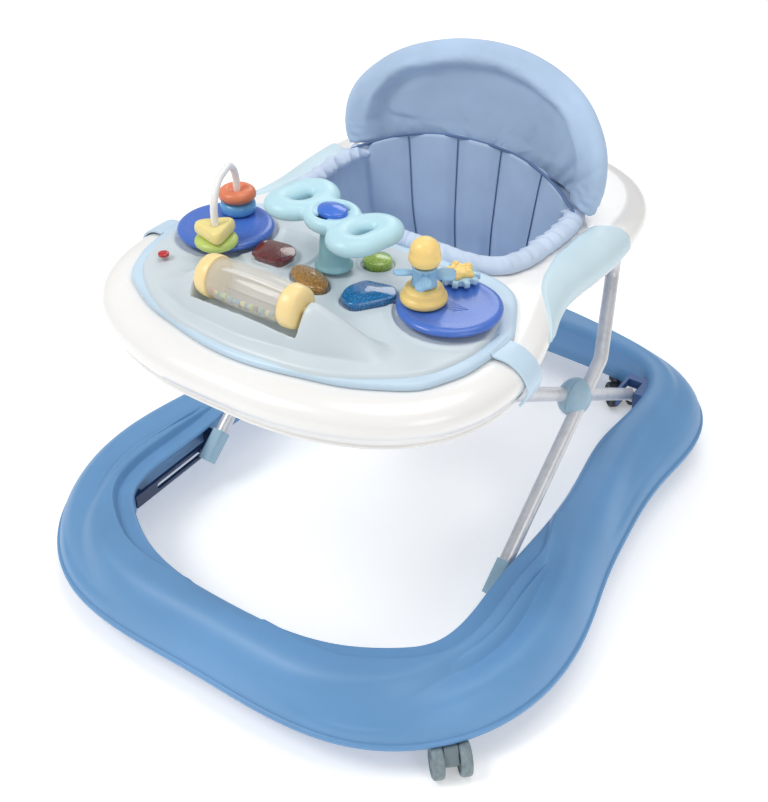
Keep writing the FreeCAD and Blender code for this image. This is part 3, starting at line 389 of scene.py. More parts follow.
def set_coordinates(piece, co):
    piece.data.vertices.foreach_set("co", (co * MM).ravel())
    piece.data.update()


def normals(piece):
    out = np.empty(len(piece.data.vertices) * 3)
    piece.data.vertices.foreach_get("normal", out)
    return out.reshape(-1, 3)


# ---------------------------------------------------------------- materials
def linear(srgb):
    out = []
    for c in srgb:
        c = c / 255.0
        out.append(c / 12.92 if c <= 0.04045 else ((c + 0.055) / 1.055) ** 2.4)
    return tuple(out) + (1.0,)


def shade(srgb, factor):
    return tuple(min(255.0, c * factor) for c in srgb)


class Nodes:
    """A short way to build one material's node tree."""

    def __init__(self, name):
        self.material = bpy.data.materials.new(name)
        self.material.use_nodes = True
        self.tree = self.material.node_tree
        self.bsdf = self.tree.nodes["Principled BSDF"]
        self.place = self.tree.nodes.new("ShaderNodeTexCoord").outputs["Object"]

    def link(self, a, b):
        self.tree.links.new(a, b)

    def noise(self, scale, detail=3.0, roughness=0.5, place=None):
        node = self.tree.nodes.new("ShaderNodeTexNoise")
        node.inputs["Scale"].default_value = scale
        node.inputs["Detail"].default_value = detail
        node.inputs["Roughness"].default_value = roughness
        self.link(place or self.place, node.inputs["Vector"])
        return node.outputs["Fac"]

    def cells(self, scale, randomness=1.0):
        node = self.tree.nodes.new("ShaderNodeTexVoronoi")
        node.inputs["Scale"].default_value = scale
        node.inputs["Randomness"].default_value = randomness
        self.link(self.place, node.inputs["Vector"])
        return node.outputs["Distance"]

    def colours(self, factor, stops):
        node = self.tree.nodes.new("ShaderNodeValToRGB")
        while len(node.color_ramp.elements) < len(stops):
            node.color_ramp.elements.new(0.5)
        for element, (place, colour) in zip(node.color_ramp.elements, stops):
            element.position = place
            element.color = colour
        self.link(factor, node.inputs["Fac"])
        return node.outputs["Color"]

    def spread(self, factor, low, high):
        node = self.tree.nodes.new("ShaderNodeMapRange")
        node.inputs["To Min"].default_value = low
        node.inputs["To Max"].default_value = high
        self.link(factor, node.inputs["Value"])
        return node.outputs["Result"]

    def maths(self, operation, a, b):
        node = self.tree.nodes.new("ShaderNodeMath")
        node.operation = operation
        for k, value in enumerate((a, b)):
            if isinstance(value, (int, float)):
                node.inputs[k].default_value = value
            else:
                self.link(value, node.inputs[k])
        return node.outputs["Value"]

    def bump(self, height, distance, strength=1.0, under=None):
        node = self.tree.nodes.new("ShaderNodeBump")
        node.inputs["Strength"].default_value = strength
        node.inputs["Distance"].default_value = distance * MM
        self.link(height, node.inputs["Height"])
        if under:
            self.link(under, node.inputs["Normal"])
        return node.outputs["Normal"]

    def finish(self, **sockets):
        for name, value in sockets.items():
            socket = self.bsdf.inputs[name.replace("_", " ")]
            if isinstance(value, (int, float, tuple)):
                socket.default_value = value
            else:
                self.link(value, socket)
        return self.material


def plastic(name, srgb, rough=0.35, grain=0.03, vary=0.04, coat=0.0, sub=0.0, spec=0.5):
    """Moulded plastic: faint flow marks, fine moulding grain and small scuffs."""
    n = Nodes(name)
    flow = n.noise(9.0, 4.0)
    fine = n.noise(1600.0, 2.0)
    scuff = n.noise(170.0, 6.0, 0.7)
    colour = n.colours(flow, [(0.3, linear(shade(srgb, 1 - vary))), (0.7, linear(shade(srgb, 1 + vary)))])
    gloss = n.maths("ADD", n.spread(scuff, rough - 0.06, rough + 0.07), n.spread(flow, -0.02, 0.02))
    skin = n.bump(fine, grain, 0.6, n.bump(n.noise(60.0, 2.0), 0.05, 0.4))
    sockets = {"Base_Color": colour, "Roughness": gloss, "Normal": skin, "Specular_IOR_Level": spec}
    sockets["Coat_Weight"] = coat
    sockets["Coat_Roughness"] = 0.12
    sockets["Subsurface_Weight"] = sub
    sockets["Subsurface_Scale"] = 0.004
    return n.finish(**sockets)


def clear(name, srgb, rough=0.06, ior=1.45):
    """Clear moulding with faint streaks."""
    n = Nodes(name)
    streak = n.noise(40.0, 5.0, 0.6)
    gloss = n.spread(streak, rough, rough + 0.08)
    skin = n.bump(n.noise(220.0, 2.0), 0.02, 0.5)
    return n.finish(Base_Color=linear(srgb), Roughness=gloss, Normal=skin, Alpha=0.3, IOR=ior,
                    Coat_Weight=0.6)


def fabric(name, srgb, seam, weave=1500.0, crease=0.5):
    """Woven cloth: threads two ways, soft creases, a slight sheen and uneven dye."""
    n = Nodes(name)
    thread = n.noise(weave, 2.0, 0.6)
    cloud = n.noise(14.0, 4.0, 0.55)
    folds = n.noise(26.0, 3.0, 0.5)
    tone = n.maths("ADD", n.maths("MULTIPLY", cloud, 0.8), n.maths("MULTIPLY", thread, 0.16))
    colour = n.colours(tone, [(0.2, linear(seam)), (0.36, linear(shade(srgb, 0.96))),
                              (0.7, linear(shade(srgb, 1.04)))])
    skin = n.bump(thread, 0.12, 0.5, n.bump(folds, 3.0, crease))
    sockets = {"Base_Color": colour, "Roughness": n.spread(cloud, 0.72, 0.9), "Normal": skin}
    sockets["Sheen_Weight"] = 0.25
    sockets["Sheen_Roughness"] = 0.4
    sockets["Specular_IOR_Level"] = 0.25
    return n.finish(**sockets)


def painted_metal(name, srgb, rough=0.32, metal=0.35):
    """Powder-painted tube with orange peel and small rub marks."""
    n = Nodes(name)
    peel = n.noise(420.0, 2.0)
    rub = n.noise(75.0, 6.0, 0.75)
    colour = n.colours(rub, [(0.25, linear(shade(srgb, 0.9))), (0.5, linear(srgb)),
                             (0.8, linear(shade(srgb, 1.04)))])
    return n.finish(Base_Color=colour, Roughness=n.spread(rub, rough - 0.08, rough + 0.12),
                    Normal=n.bump(peel, 0.06, 0.5), Metallic=metal)


def rubber(name, srgb, rough=0.6):
    n = Nodes(name)
    dust = n.noise(120.0, 5.0, 0.7)
    colour = n.colours(dust, [(0.3, linear(shade(srgb, 0.85))), (0.75, linear(shade(srgb, 1.15)))])
    return n.finish(Base_Color=colour, Roughness=n.spread(dust, rough - 0.08, rough + 0.15),
                    Normal=n.bump(n.noise(900.0, 3.0), 0.08, 0.6))


def glitter(name, deep, bright, scale, rough=0.12):
    """A tinted clear key over a reflector of fine facets or dots."""
    n = Nodes(name)
    dots = n.cells(scale, 0.75)
    spark = n.noise(scale * 1.6, 2.0, 0.8)
    tone = n.maths("ADD", n.maths("MULTIPLY", dots, 0.9), n.maths("MULTIPLY", spark, 0.45))
    colour = n.colours(tone, [(0.25, linear(bright)), (0.55, linear(deep)), (0.85, linear(shade(deep, 0.8)))])
    return n.finish(Base_Color=colour, Roughness=n.spread(spark, rough, rough + 0.1),
                    Normal=n.bump(dots, 0.25, 0.5), Coat_Weight=1.0, Coat_Roughness=0.04)


M = {
    "base": plastic("base_satin_plastic", (104, 154, 202), 0.42, 0.03, 0.035),
    "tray": plastic("tray_gloss_plastic", (243, 242, 240), 0.24, 0.012, 0.01, coat=0.4, sub=0.05),
    "grip": plastic("grip_soft_plastic", (205, 227, 236), 0.42, 0.03, 0.025),
    "plate": plastic("plate_plastic", (196, 219, 236), 0.33, 0.02, 0.025),
    "deck": plastic("deck_plastic", (205, 216, 222), 0.34, 0.02, 0.02),
    "disc": plastic("disc_royal_plastic", (72, 114, 202), 0.28, 0.02, 0.03, coat=0.25),
    "aqua": plastic("wheel_aqua_plastic", (186, 224, 235), 0.34, 0.02, 0.03, sub=0.1),
    "teal": plastic("column_teal_plastic", (138, 186, 196), 0.3, 0.02, 0.03),
    "button": plastic("button_blue_plastic", (58, 112, 212), 0.25, 0.015, 0.03, coat=0.4),
    # Dark navy: the speaker's colour, and painted shade in the gap round the horn button.
    "dark": plastic("speaker_dark_and_gap_shade_plastic", (38, 52, 78), 0.5, 0.03, 0.05),
    "cream": plastic("cap_cream_plastic", (250, 222, 158), 0.3, 0.015, 0.03, sub=0.1),
    "figure": plastic("figure_yellow_plastic", (250, 214, 134), 0.32, 0.02, 0.03, sub=0.1),
    "flower": plastic("flower_yellow_plastic", (248, 214, 134), 0.32, 0.02, 0.04, sub=0.1),
    "blade": plastic("blade_blue_plastic", (146, 188, 220), 0.34, 0.02, 0.03),
    "gear": plastic("gear_pale_plastic", (182, 217, 236), 0.34, 0.02, 0.03),
    "arch": plastic("arch_white_plastic", (244, 243, 240), 0.26, 0.015, 0.01, sub=0.1),
    "orange": plastic("bead_orange_plastic", (230, 132, 94), 0.3, 0.02, 0.04),
    "sky": plastic("bead_blue_plastic", (106, 172, 226), 0.27, 0.02, 0.03, coat=0.3),
    "lemon": plastic("bead_yellow_plastic", (246, 228, 150), 0.3, 0.02, 0.03, sub=0.1),
    "lime": plastic("bead_green_plastic", (200, 220, 122), 0.3, 0.02, 0.04),
    "maroon": plastic("bead_maroon_plastic", (128, 44, 62), 0.3, 0.02, 0.05),
    "green_key": glitter("key_green_clear", (176, 212, 78), (212, 234, 122), 900.0),
    "red_key": glitter("key_red_clear", (104, 8, 14), (150, 26, 30), 420.0),
    "amber_key": glitter("key_amber_clear", (174, 122, 44), (228, 188, 100), 620.0),
    "blue_key": glitter("key_blue_clear", (24, 118, 186), (70, 164, 220), 520.0),
    "clear": clear("drum_clear", (236, 232, 222)),
    "card": plastic("drum_card", (248, 249, 250), 0.55, 0.03, 0.01),
    "cloth": fabric("seat_cloth", (178, 199, 226), (134, 160, 196), 1500.0, 0.3),
    "hood": fabric("hood_cloth", (176, 199, 226), (134, 160, 196), 1500.0, 0.15),
    "ruffle": fabric("ruffle_cloth", (204, 219, 240), (160, 182, 214), 1500.0, 0.2),
    "thread": plastic("seam_thread", (88, 112, 152), 0.7, 0.05, 0.08),
    "tube": painted_metal("tube_paint", (216, 217, 221)),
    "hub": plastic("hub_plastic", (160, 190, 208), 0.36, 0.02, 0.03),
    "cap": plastic("cap_plastic", (150, 184, 203), 0.38, 0.02, 0.03),
    # Painted shade: the slide rails take the base blue darkened to the shaded look they have under the base
    # ring.
    "rail_shade": plastic("rail_painted_shade_plastic", (34, 52, 88), 0.42, 0.03, 0.06),
    "clip": plastic("bracket_plastic", (58, 96, 152), 0.4, 0.03, 0.05),
    "steel": painted_metal("pin_steel", (176, 178, 182), 0.28, 0.95),
    "wheel": rubber("caster_grey", (126, 142, 148), 0.45),
    "yoke": plastic("yoke_grey", (112, 128, 134), 0.45, 0.03, 0.05),
    # Painted shade: the rear caster wheels are the grey caster rubber painted near black for the shadow they
    # sit in.
    "rear_caster_shade": rubber("caster_grey_painted_shade", (34, 34, 38), 0.5),
    # Painted shade: the rear yokes are the grey yoke plastic painted near black for the shadow at the rear
    # caster.
    "yoke_black": plastic("yoke_black", (36, 37, 42), 0.45, 0.03, 0.06),
    "pad": rubber("brake_pad_rubber", (120, 124, 130), 0.65),
    "box": plastic("box_plastic", (224, 226, 226), 0.4, 0.03, 0.02),
    "cell": painted_metal("cell_sleeve", (60, 92, 70), 0.35, 0.2),
    "board": plastic("board_green", (34, 92, 62), 0.4, 0.05, 0.1),
    "label": plastic("blank_label", (226, 220, 200), 0.5, 0.02, 0.02),
    "dot": plastic("lamp_red", (186, 28, 38), 0.2, 0.01, 0.05, coat=0.6),
}


def repaint(node, key):
    piece = frame["nodes"][node]
    for k in range(len(piece.material_slots)):
        piece.material_slots[k].material = M[key]
    if not piece.material_slots:
        piece.data.materials.append(M[key])


KEPT = {
    # The slide rails take the dark painted shade.
    "rail_shade": ["slide_rails"],
    "clip": ["rear_brackets"],
    "steel": ["rear_pivot_pins", "hub_bolts", "slider_pins", "pivot_pins"],
    "tube": ["rear_leg_left", "rear_leg_right", "height_crossbar", "front_leg_left", "front_leg_right"],
    "tray": ["pivot_brackets", "crossbar_guides"],
    "box": ["battery_box", "battery_cover"],
    "cell": ["batteries"],
    "board": ["circuit_board"],
    "dark": ["speaker"],
    "hub": ["hub_inner_halves", "hub_outer_halves"],
    "cap": ["end_caps"],
    "gear": ["flower_post"],
    "yoke": ["yoke_front_left", "yoke_front_right"],
    # The rear yokes take the near-black painted shade.
    "yoke_black": ["yoke_rear_left", "yoke_rear_right"],
}
for key, nodes in KEPT.items():
    for node in nodes:
        repaint(node, key)


BODY_GROUPS = frame["record"]["behaviour"]["bodies"]


def body_of(node):
    return next(body for body, nodes in BODY_GROUPS.items() if node in nodes)


def settle(piece, body, node=None):
    """Hides the node a piece replaces, if any, and hangs the piece on the body that carries it."""
    if node:
        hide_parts(node)
    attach(piece, body)


# ---------------------------------------------------------------- base
BASE_RAYS = 420
BASE_SKIRT = 38.0
BASE_SHELF = 73.0
LEDGE_WIDTH = 16.0
# Two rolled creases run round the ring: (turn from the side, distance in from the outer edge).
FRONT_CREASE = [(-80, -8), (-76, 0), (-60, 20), (-51, 36), (-43, 45), (-30, 52), (-8, 52), (0, 50)]
REAR_CREASE = [(-8, 0), (-3, 3), (15, 13), (32, 25), (46, 31), (60, 24), (90, 18)]
# Depth of each crease, and how wide it is on its outer and its inner side.
FRONT_DIP = (11.0, 24, 11)
REAR_DIP = (8.0, 20, 10)


def base_surface(plan):
    """Height of the base's upper skin at plan points, with its two rolls, creases and inner ledge."""
    d = inside_distance(plan, plan_loop(BASE_OUTER))
    e = -inside_distance(plan, plan_loop(BASE_LEDGE))
    phi = np.degrees(np.arctan2(plan[:, 1], np.abs(plan[:, 0])))
    u = np.clip(d / BASE_CREST, 0, 1)
    z = BASE_SKIRT + (BASE_TOP - BASE_SKIRT) * (1 - (1 - u) ** 2.2) ** 0.75
    front = smooth_rows(FRONT_CREASE, phi, 6)
    front_on = ramp(phi, -80, -62) * (1 - ramp(phi, -26, -8))
    rear = smooth_rows(REAR_CREASE, phi, 8)
    rear_on = ramp(phi, -8, 10)
    for line, on, (depth, run, rise) in ((front, front_on, FRONT_DIP), (rear, rear_on, REAR_DIP)):
        gap = d - line
        dip = np.where(gap < 0, np.exp(-(gap / run) ** 2), np.exp(-(gap / rise) ** 2))
        z = z - depth * on * dip * ramp(d, 0, 9)
    slope = 3.0 * ramp(d, BASE_CREST, BASE_CREST + 40) * ramp(-phi, 50, 80)
    z = z - slope
    ledge = LEDGE_WIDTH * ramp(phi, -84, -62) * (1 - ramp(phi, -22, -6))
    on_shelf = BASE_SHELF - 1.2 * np.exp(-e / 1.5)
    beyond = BASE_SHELF + (z - BASE_SHELF) * ramp(e, ledge, ledge + 5) ** 0.6
    edge = np.where(e < ledge, on_shelf, beyond)
    corner = 9.0 * np.exp(-(np.clip(e - ledge, 0, None) / 4.0)) * (1 - ramp(ledge, 0, 4))
    return np.where(ledge > 0.3, edge, z - corner)


def build_base():
    outer = on_rays(plan_loop(BASE_OUTER), ORIGIN, BASE_RAYS)
    inner = on_rays(plan_loop(BASE_LEDGE), ORIGIN, BASE_RAYS)
    wall = on_rays(plan_loop(BASE_INNER), ORIGIN, BASE_RAYS)
    start = np.linspace(0, 1, 26) ** 1.8 * 0.3
    middle = np.linspace(0.3, 0.74, 34)[1:]
    end = np.linspace(0.74, 1, 30)[1:]
    across = np.concatenate([start, middle, end])
    band = outer[None] + (inner - outer)[None] * across[:, None, None]
    height = base_surface(band.reshape(-1, 2)).reshape(band.shape[:2])
    top = [np.column_stack([band[k], height[k]]) for k in range(len(across))]
    foot = [(3, BASE_BOTTOM), (3.2, 35), (2.8, 37), (1.6, 37.9)]
    levels = [level(BASE_OUTER, offset, z, ORIGIN, BASE_RAYS) for offset, z in foot] + top
    lip = height[-1]
    for share, drop in ((0.0, 1.0), (0.0, 2.6), (0.4, 3.4), (1.0, 4.2), (1.0, 12.0)):
        edge = inner + (wall - inner) * share
        levels.append(np.column_stack([edge, np.maximum(lip - drop, BASE_BOTTOM + 2)]))
    levels.append(level(BASE_INNER, 0, BASE_BOTTOM, ORIGIN, BASE_RAYS))
    levels.append(level(BASE_INNER, 3, BASE_BOTTOM, ORIGIN, BASE_RAYS))
    for k in range(len(across) - 4, 2, -2):
        row = outer + (wall - outer) * across[k]
        levels.append(np.column_stack([row, np.maximum(height[k] - 3.0, BASE_BOTTOM + 1)]))
    levels.append(level(BASE_OUTER, -3, BASE_BOTTOM, ORIGIN, BASE_RAYS))
    base = ring_piece("base_moulding", levels, M["base"])
    settle(base, "base", "base_ring")


def build_label():
    """A blank sticker that follows the base's rear top."""
    u, v = np.meshgrid(np.linspace(0, 1, 24), np.linspace(0, 1, 10), indexing="ij")
    x = 92 + 62 * u
    y = 320 + 14 * v - 0.10 * (x - 92)
    plan = np.stack([x.ravel(), y.ravel()], 1)
    z = base_surface(plan).reshape(x.shape)
    top = np.stack([x, y, z + 0.35], 2).reshape(-1, 3)
    low = np.stack([x, y, z - 0.3], 2).reshape(-1, 3)
    label = closed_patch("rear_sticker", top, low, 24, 10, M["label"])
    settle(label, "base")


def closed_patch(name, top, low, rows, cols, material):
    """A thin closed sheet from two matching grids."""
    count = rows * cols
    faces = grid_faces(rows, cols, False, False)
    under = [tuple(count + k for k in reversed(face)) for face in faces]
    rim = [i * cols for i in range(rows)] + [(rows - 1) * cols + j for j in range(1, cols)]
    rim += [i * cols + cols - 1 for i in range(rows - 2, -1, -1)] + [j for j in range(cols - 2, 0, -1)]
    sides = []
    for a, b in zip(rim, rim[1:] + rim[:1]):
        sides.append((a, b, count + b, count + a))
    return make_object(name, np.vstack([top, low]), faces + under + sides, material)


FRONT_CASTER = (245.0, -299.0)
REAR_CASTER = (137.5, 284.0)
SOCKET_BORE = 5.3
PAD_PLACES = [(252, -224), (-252, -224), (222, 236), (-222, 236), (0, -332), (0, 330)]


def under_skin(x, y, reach):
    """Height just inside the base's skin over a round footprint."""
    turn = np.linspace(0, 2 * math.pi, 24)
    plan = np.stack([x + reach * np.cos(turn), y + reach * np.sin(turn)], 1)
    return float(base_surface(np.vstack([plan, [(x, y)]])).min()) - 1.5


def build_pads():
    """Rubber stoppers under the base, with ringed soles, and the bosses that take the casters' stems."""
    pads = []
    for x, y in PAD_PLACES:
        top = under_skin(x, y, 9.0)
        profile = [(5, 22.0), (7.6, 22.0), (8.6, 22.8), (9, 24), (9, 30), (8.7, 30.5), (9, 31), (9, top)]
        pads.append(lathe("pad", profile, (x, y, 0), M["pad"], segments=40))
    stoppers = join("brake_stoppers", pads)
    settle(stoppers, "base", "brake_pads")
    bosses = []
    for wheels in (FRONT_CASTER, REAR_CASTER):
        toe = math.radians(90 + SWIVEL_TOE)
        x = wheels[0] + CASTER_TRAIL * math.cos(toe)
        y = wheels[1] + CASTER_TRAIL * math.sin(toe)
        top = under_skin(x, y, 8.5)
        for side in (1, -1):
            profile = [(SOCKET_BORE, 38.0), (7.6, 38.0), (8.2, 38.5), (8.5, 39.4), (8.5, top),
                       (SOCKET_BORE, top)]
            turn = full_turn(48)
            levels = [circle((side * x, y), r, z, turn) for r, z in profile]
            bosses.append(ring_piece("boss", levels, M["base"]))
    sockets = join("caster_bosses", bosses)
    settle(sockets, "base", "caster_sockets")


# ---------------------------------------------------------------- tray
TRAY_RAYS = 400
TRAY_SECTION = [(-3, TRAY_RIM), (0, TRAY_RIM), (1.6, TRAY_RIM + 0.4), (2.2, TRAY_RIM + 1.6),
                (1.8, TRAY_RIM + 3), (0.9, TRAY_RIM + 3.9), (1.4, TRAY_RIM + 5), (3.6, 306), (6.2, 310),
                (8.1, 314.5), (8.9, 319), (8.4, 323), (6.4, 327), (3.2, 330.2), (-1, 332.8), (-6, 334.6),
                (-11, 335.7), (-16, TRAY_TOP)]


def build_tray():
    levels = [level(TRAY_OUTER, offset, z, TRAY_CENTRE, TRAY_RAYS) for offset, z in TRAY_SECTION]
    lip = [(9, TRAY_TOP), (5, TRAY_TOP), (2.4, TRAY_TOP - 0.3), (0.8, TRAY_TOP - 1.3), (0, TRAY_TOP - 3.5),
           (0, TRAY_TOP - 13), (0.6, TRAY_TOP - 14), (2.4, TRAY_TOP - 14), (3, TRAY_TOP - 13),
           (3, TRAY_TOP - 4), (6, TRAY_TOP - 3)]
    outer = levels[-1]
    inner = level(SEAT_OPENING, 9, TRAY_TOP, TRAY_CENTRE, TRAY_RAYS)
    for t in (0.2, 0.4, 0.6, 0.8):
        levels.append(outer * (1 - t) + inner * t)
    levels += [level(SEAT_OPENING, offset, z, TRAY_CENTRE, TRAY_RAYS) for offset, z in lip]
    under = [(-16, 333), (-7, 331), (0.5, 326.5), (5.6, 320), (5, 312.5), (-0.5, 302)]
    levels += [level(TRAY_OUTER, offset, z, TRAY_CENTRE, TRAY_RAYS) for offset, z in under]
    tray = ring_piece("tray_moulding", levels, M["tray"])
    settle(tray, "tray", "tray_shell")


GRIP_SPAN = 0.93
GRIP_START = -87.0
GRIP_LENGTH = 206.0
GRIP_LIFT = 2.9
GRIP_INNER = [(-88, 188), (-76, 181), (-46, 168), (-12, 153), (30, 144), (72, 144), (100, 147), (114, 156),
              (120, 168)]


def grip_section(y, s):
    """A point and its outward direction on the tray's skin, at a place along it and a share across it."""
    path = [(-999, TRAY_TOP)] + [(offset, z) for offset, z in TRAY_SECTION[::-1]]
    x_in = np.interp(y, [row[0] for row in GRIP_INNER], [row[1] for row in GRIP_INNER])
    points = [(x_in, TRAY_TOP)]
    for offset, z in path[1:14]:
        loop = GRIP_LOOPS[offset]
        x = np.interp(y, loop[:, 1], loop[:, 0])
        if x > x_in:
            points.append((x, z))
    points = np.array(points)
    run = np.concatenate([[0], np.cumsum(np.linalg.norm(np.diff(points, axis=0), axis=1))])
    limit = run[-1]
    t = s * limit
    x = np.interp(t, run, points[:, 0])
    z = np.interp(t, run, points[:, 1])
    ahead = min(t + 1.5, limit)
    behind = max(t - 1.5, 0.0)
    dx = np.interp(ahead, run, points[:, 0]) - np.interp(behind, run, points[:, 0])
    dz = np.interp(ahead, run, points[:, 1]) - np.interp(behind, run, points[:, 1])
    size = math.hypot(dx, dz) or 1.0
    return np.array([x, y, z]), np.array([-dz / size, 0.0, dx / size])


def right_side(half, offset):
    loop = plan_loop(half, offset)
    side = loop[(loop[:, 0] > 100) & (loop[:, 1] > -140) & (loop[:, 1] < 170)]
    return side[np.argsort(side[:, 1])]


GRIP_LOOPS = {offset: right_side(TRAY_OUTER, offset) for offset, z in TRAY_SECTION}


def build_grips():
    rows, cols = 70, 34
    top = []
    low = []
    for i in range(rows):
        t = i / (rows - 1)
        y = GRIP_START + GRIP_LENGTH * t
        ends = min(ramp(t, 0, 0.30) ** 0.8, ramp(1 - t, 0, 0.10) ** 0.5)
        reach = 0.5 + 0.5 * max(ends, 0.02)
        for j in range(cols):
            s = j / (cols - 1)
            share = s if ends > 0.98 else 1 - reach + (2 * reach - 1) * s
            share *= GRIP_SPAN
            point, away = grip_section(y, min(max(share, 0.0), 1.0))
            rim = min(1.0, 4 * min(s, 1 - s) * (cols / 16.0), 30 * min(t, 1 - t))
            lift = GRIP_LIFT * math.sin(0.5 * math.pi * min(1.0, rim)) - 0.6 * (rim <= 0)
            top.append(point + away * (lift - 0.3))
            low.append(point - away * 0.9)
    top = np.array(top)
    low = np.array(low)
    pair = []
    for side, name in ((1, "right"), (-1, "left")):
        flip = np.array([side, 1, 1])
        pair.append(closed_patch("grip_" + name, top * flip, low * flip, rows, cols, M["grip"]))
    grips = join("tray_grips", pair)
    settle(grips, "tray", "side_grips")


# ---------------------------------------------------------------- play plate and deck
def build_plate():
    rays = 360
    section = [(0.4, TRAY_TOP + 0.1), (1.8, TRAY_TOP + 1), (2.4, 339), (2.0, 341), (0.8, 342.4),
               (-1, PLATE_TOP), (-4, PLATE_TOP + 0.1), (-20, PLATE_TOP)]
    plate = capped_piece("plate_moulding", [level(PLATE_EDGE, o, z, PLAY_CENTRE, rays) for o, z in section],
                         M["plate"])
    arms = []
    path = spline_open([(172, 341), (184, 341.2), (196, 339.6), (207, 333.5), (213.6, 325), (216, 316.5),
                        (214.2, 306),
                        (208.5, 295.2)], 40)
    for side, name in ((1, "right"), (-1, "left")):
        loops = []
        for k, (x, z) in enumerate(path):
            t = k / (len(path) - 1)
            before = path[max(k - 1, 0)]
            after = path[min(k + 1, len(path) - 1)]
            dx, dz = after - before
            size = math.hypot(dx, dz)
            away = np.array([-dz / size, dx / size]) * -1
            if away[0] < 0:
                away = -away
            y_mid = -140 + 3 * t
            half = 15 - 4.5 * t
            thick = 2.6
            section = rounded([(-half, -thick), (half, -thick), (half, 0), (-half, 0)], 1.2, 4)
            loops.append([(side * (x + away[0] * b), y_mid + a, z + away[1] * b) for a, b in section])
        arms.append(capped_piece("arm_" + name, [np.array(l) for l in loops], M["plate"]))
    whole = join("plate_and_arms", [plate] + arms)
    settle(whole, "tray", "play_plate")


TROUGH_R = 21.0
# Height of the mound along the drum's axis.
RIDGE = [(-140, 0), (-118, 0), (-100, 7), (-84, 17), (-68, 29), (-58, 30), (-48, 27), (40, 27), (50, 35),
         (58, 34), (75, 25), (95, 12), (118, 0), (140, 0)]
TOE = [(-150, -205), (-125, -226), (-104, -240), (-61, -254), (0, -258), (60, -247), (115, -228), (150, -205)]
RED_KEY = [(-76, -128), (-47, -124), (-35, -136), (-37, -155), (-68, -157)]
BLUE_KEY = [(31, -150), (37, -168), (54, -173), (79, -139), (68, -124), (38, -130)]
AMBER_AT = (-5.0, -154.0)
AMBER_SIZE = (24.0, 13.0)
AMBER_TURN = -22.0
GREEN_AT = (27.0, -94.0)
GREEN_R = 14.0


def oval(centre, size, turn, count=64):
    a = full_turn(count)
    c, s = math.cos(math.radians(turn)), math.sin(math.radians(turn))
    x = size[0] * np.cos(a)
    y = size[1] * np.sin(a)
    return np.stack([centre[0] + c * x - s * y, centre[1] + s * x + c * y], 1)


KEY_SHAPES = {
    "key_red": resample(rounded(RED_KEY, 7), 72),
    "key_blue": resample(rounded(BLUE_KEY, 7), 72),
    "key_amber": oval(AMBER_AT, AMBER_SIZE, AMBER_TURN, 72),
    "key_green": oval(GREEN_AT, (GREEN_R, GREEN_R), 0, 72),
}


def deck_height(plan):
    """Height of the play surface: a crowned panel, the mound that cradles the drum, and the recesses."""
    x = plan[:, 0]
    y = plan[:, 1]
    edge = inside_distance(plan, plan_loop(DECK_EDGE))
    z = DECK_TOP + 1.2 * ramp(edge, 4, 60)
    rise = smooth_rows(RIDGE, x, 9)
    toe = smooth_rows(TOE, x, 18)
    crest = -226 + 12 * ramp(x, 45, 112) + 6 * ramp(-x, 60, 110)
    front = np.clip((y - toe) / (crest - toe), 0, 1)
    face = np.sin(0.5 * math.pi * front) * (1 - np.exp(-(front / 0.16) ** 2))
    back = 1 - ramp(y, crest + 3, crest + 3 + np.where(x > 45, 18, 24))
    z = z + rise * np.where(y < crest, face, back)
    cx, cy, cz = DRUM_AT
    reach = DRUM_HALF + 13
    along_drum = ramp(reach + 2.5 - np.abs(x - cx), 0, 3)
    inside = np.clip(1 - ((y - cy) / TROUGH_R) ** 2, 0, 1)
    trough = cz - TROUGH_R * np.sqrt(inside)
    cut = np.where(np.abs(y - cy) < TROUGH_R, np.minimum(z, np.maximum(trough, DECK_TOP - 0.5)), z)
    z = z * (1 - along_drum) + cut * along_drum
    island = np.hypot(x + 62, y + 124)
    stage_in = 1 - ramp(island, 36, 41)
    z = z + 2.2 * stage_in * ramp(-x, -8, 6) * (1 - ramp(-x, 100, 104))
    for side in (-1, 1):
        away = np.hypot(x - side * DISC_AT[0], y - DISC_AT[1])
        z = z + 1.4 * np.exp(-((away - 51.0) / 3.0) ** 2)
        rebate = DECK_TOP - 0.4 + 1.2 * ramp(away, DISC_R, DISC_R + 3)
        z = np.where(away < DISC_R + 3, np.minimum(z, rebate), z)
    for shape in KEY_SHAPES.values():
        deep = inside_distance(plan, shape)
        z = z + 0.7 * np.exp(-((deep + 3.2) / 1.7) ** 2)
        z = z - 5.5 * ramp(deep, -1.6, 1.4)
    return z, edge


def build_deck():
    rays = 480
    edge = on_rays(plan_loop(DECK_EDGE), PLAY_CENTRE, rays)
    centre = np.array(PLAY_CENTRE)
    shares = np.concatenate([1 - np.linspace(0, 1, 14) ** 1.6 * 0.07, np.linspace(0.93, 0.02, 118)[1:]])
    band = centre + (edge - centre)[None] * shares[:, None, None]
    height, inset = deck_height(band.reshape(-1, 2))
    fall = 8.6 * (1 - np.sqrt(np.clip(1 - (1 - np.clip(inset / 5.5, 0, 1)) ** 2, 0, 1)))
    height = (height - fall).reshape(band.shape[:2])
    levels = [level(DECK_EDGE, -3, 344.2, PLAY_CENTRE, rays),
              level(DECK_EDGE, 0, PLATE_TOP - 0.4, PLAY_CENTRE, rays)]
    levels += [np.column_stack([band[k], height[k]]) for k in range(len(shares))]
    bottom = [level(DECK_EDGE, -8, 346, PLAY_CENTRE, rays)]
    deck = capped_piece("deck_moulding", bottom + levels, M["deck"])
    settle(deck, "tray", "play_deck")
    lamp = lathe("deck_lamp", [(5.2, 351), (5.2, 352.8), (4.8, 353.3), (3, 353.7), (0.8, 353.8)],
                 (-140, -196, 0), M["dot"],
                 segments=32)
    settle(lamp, "tray")


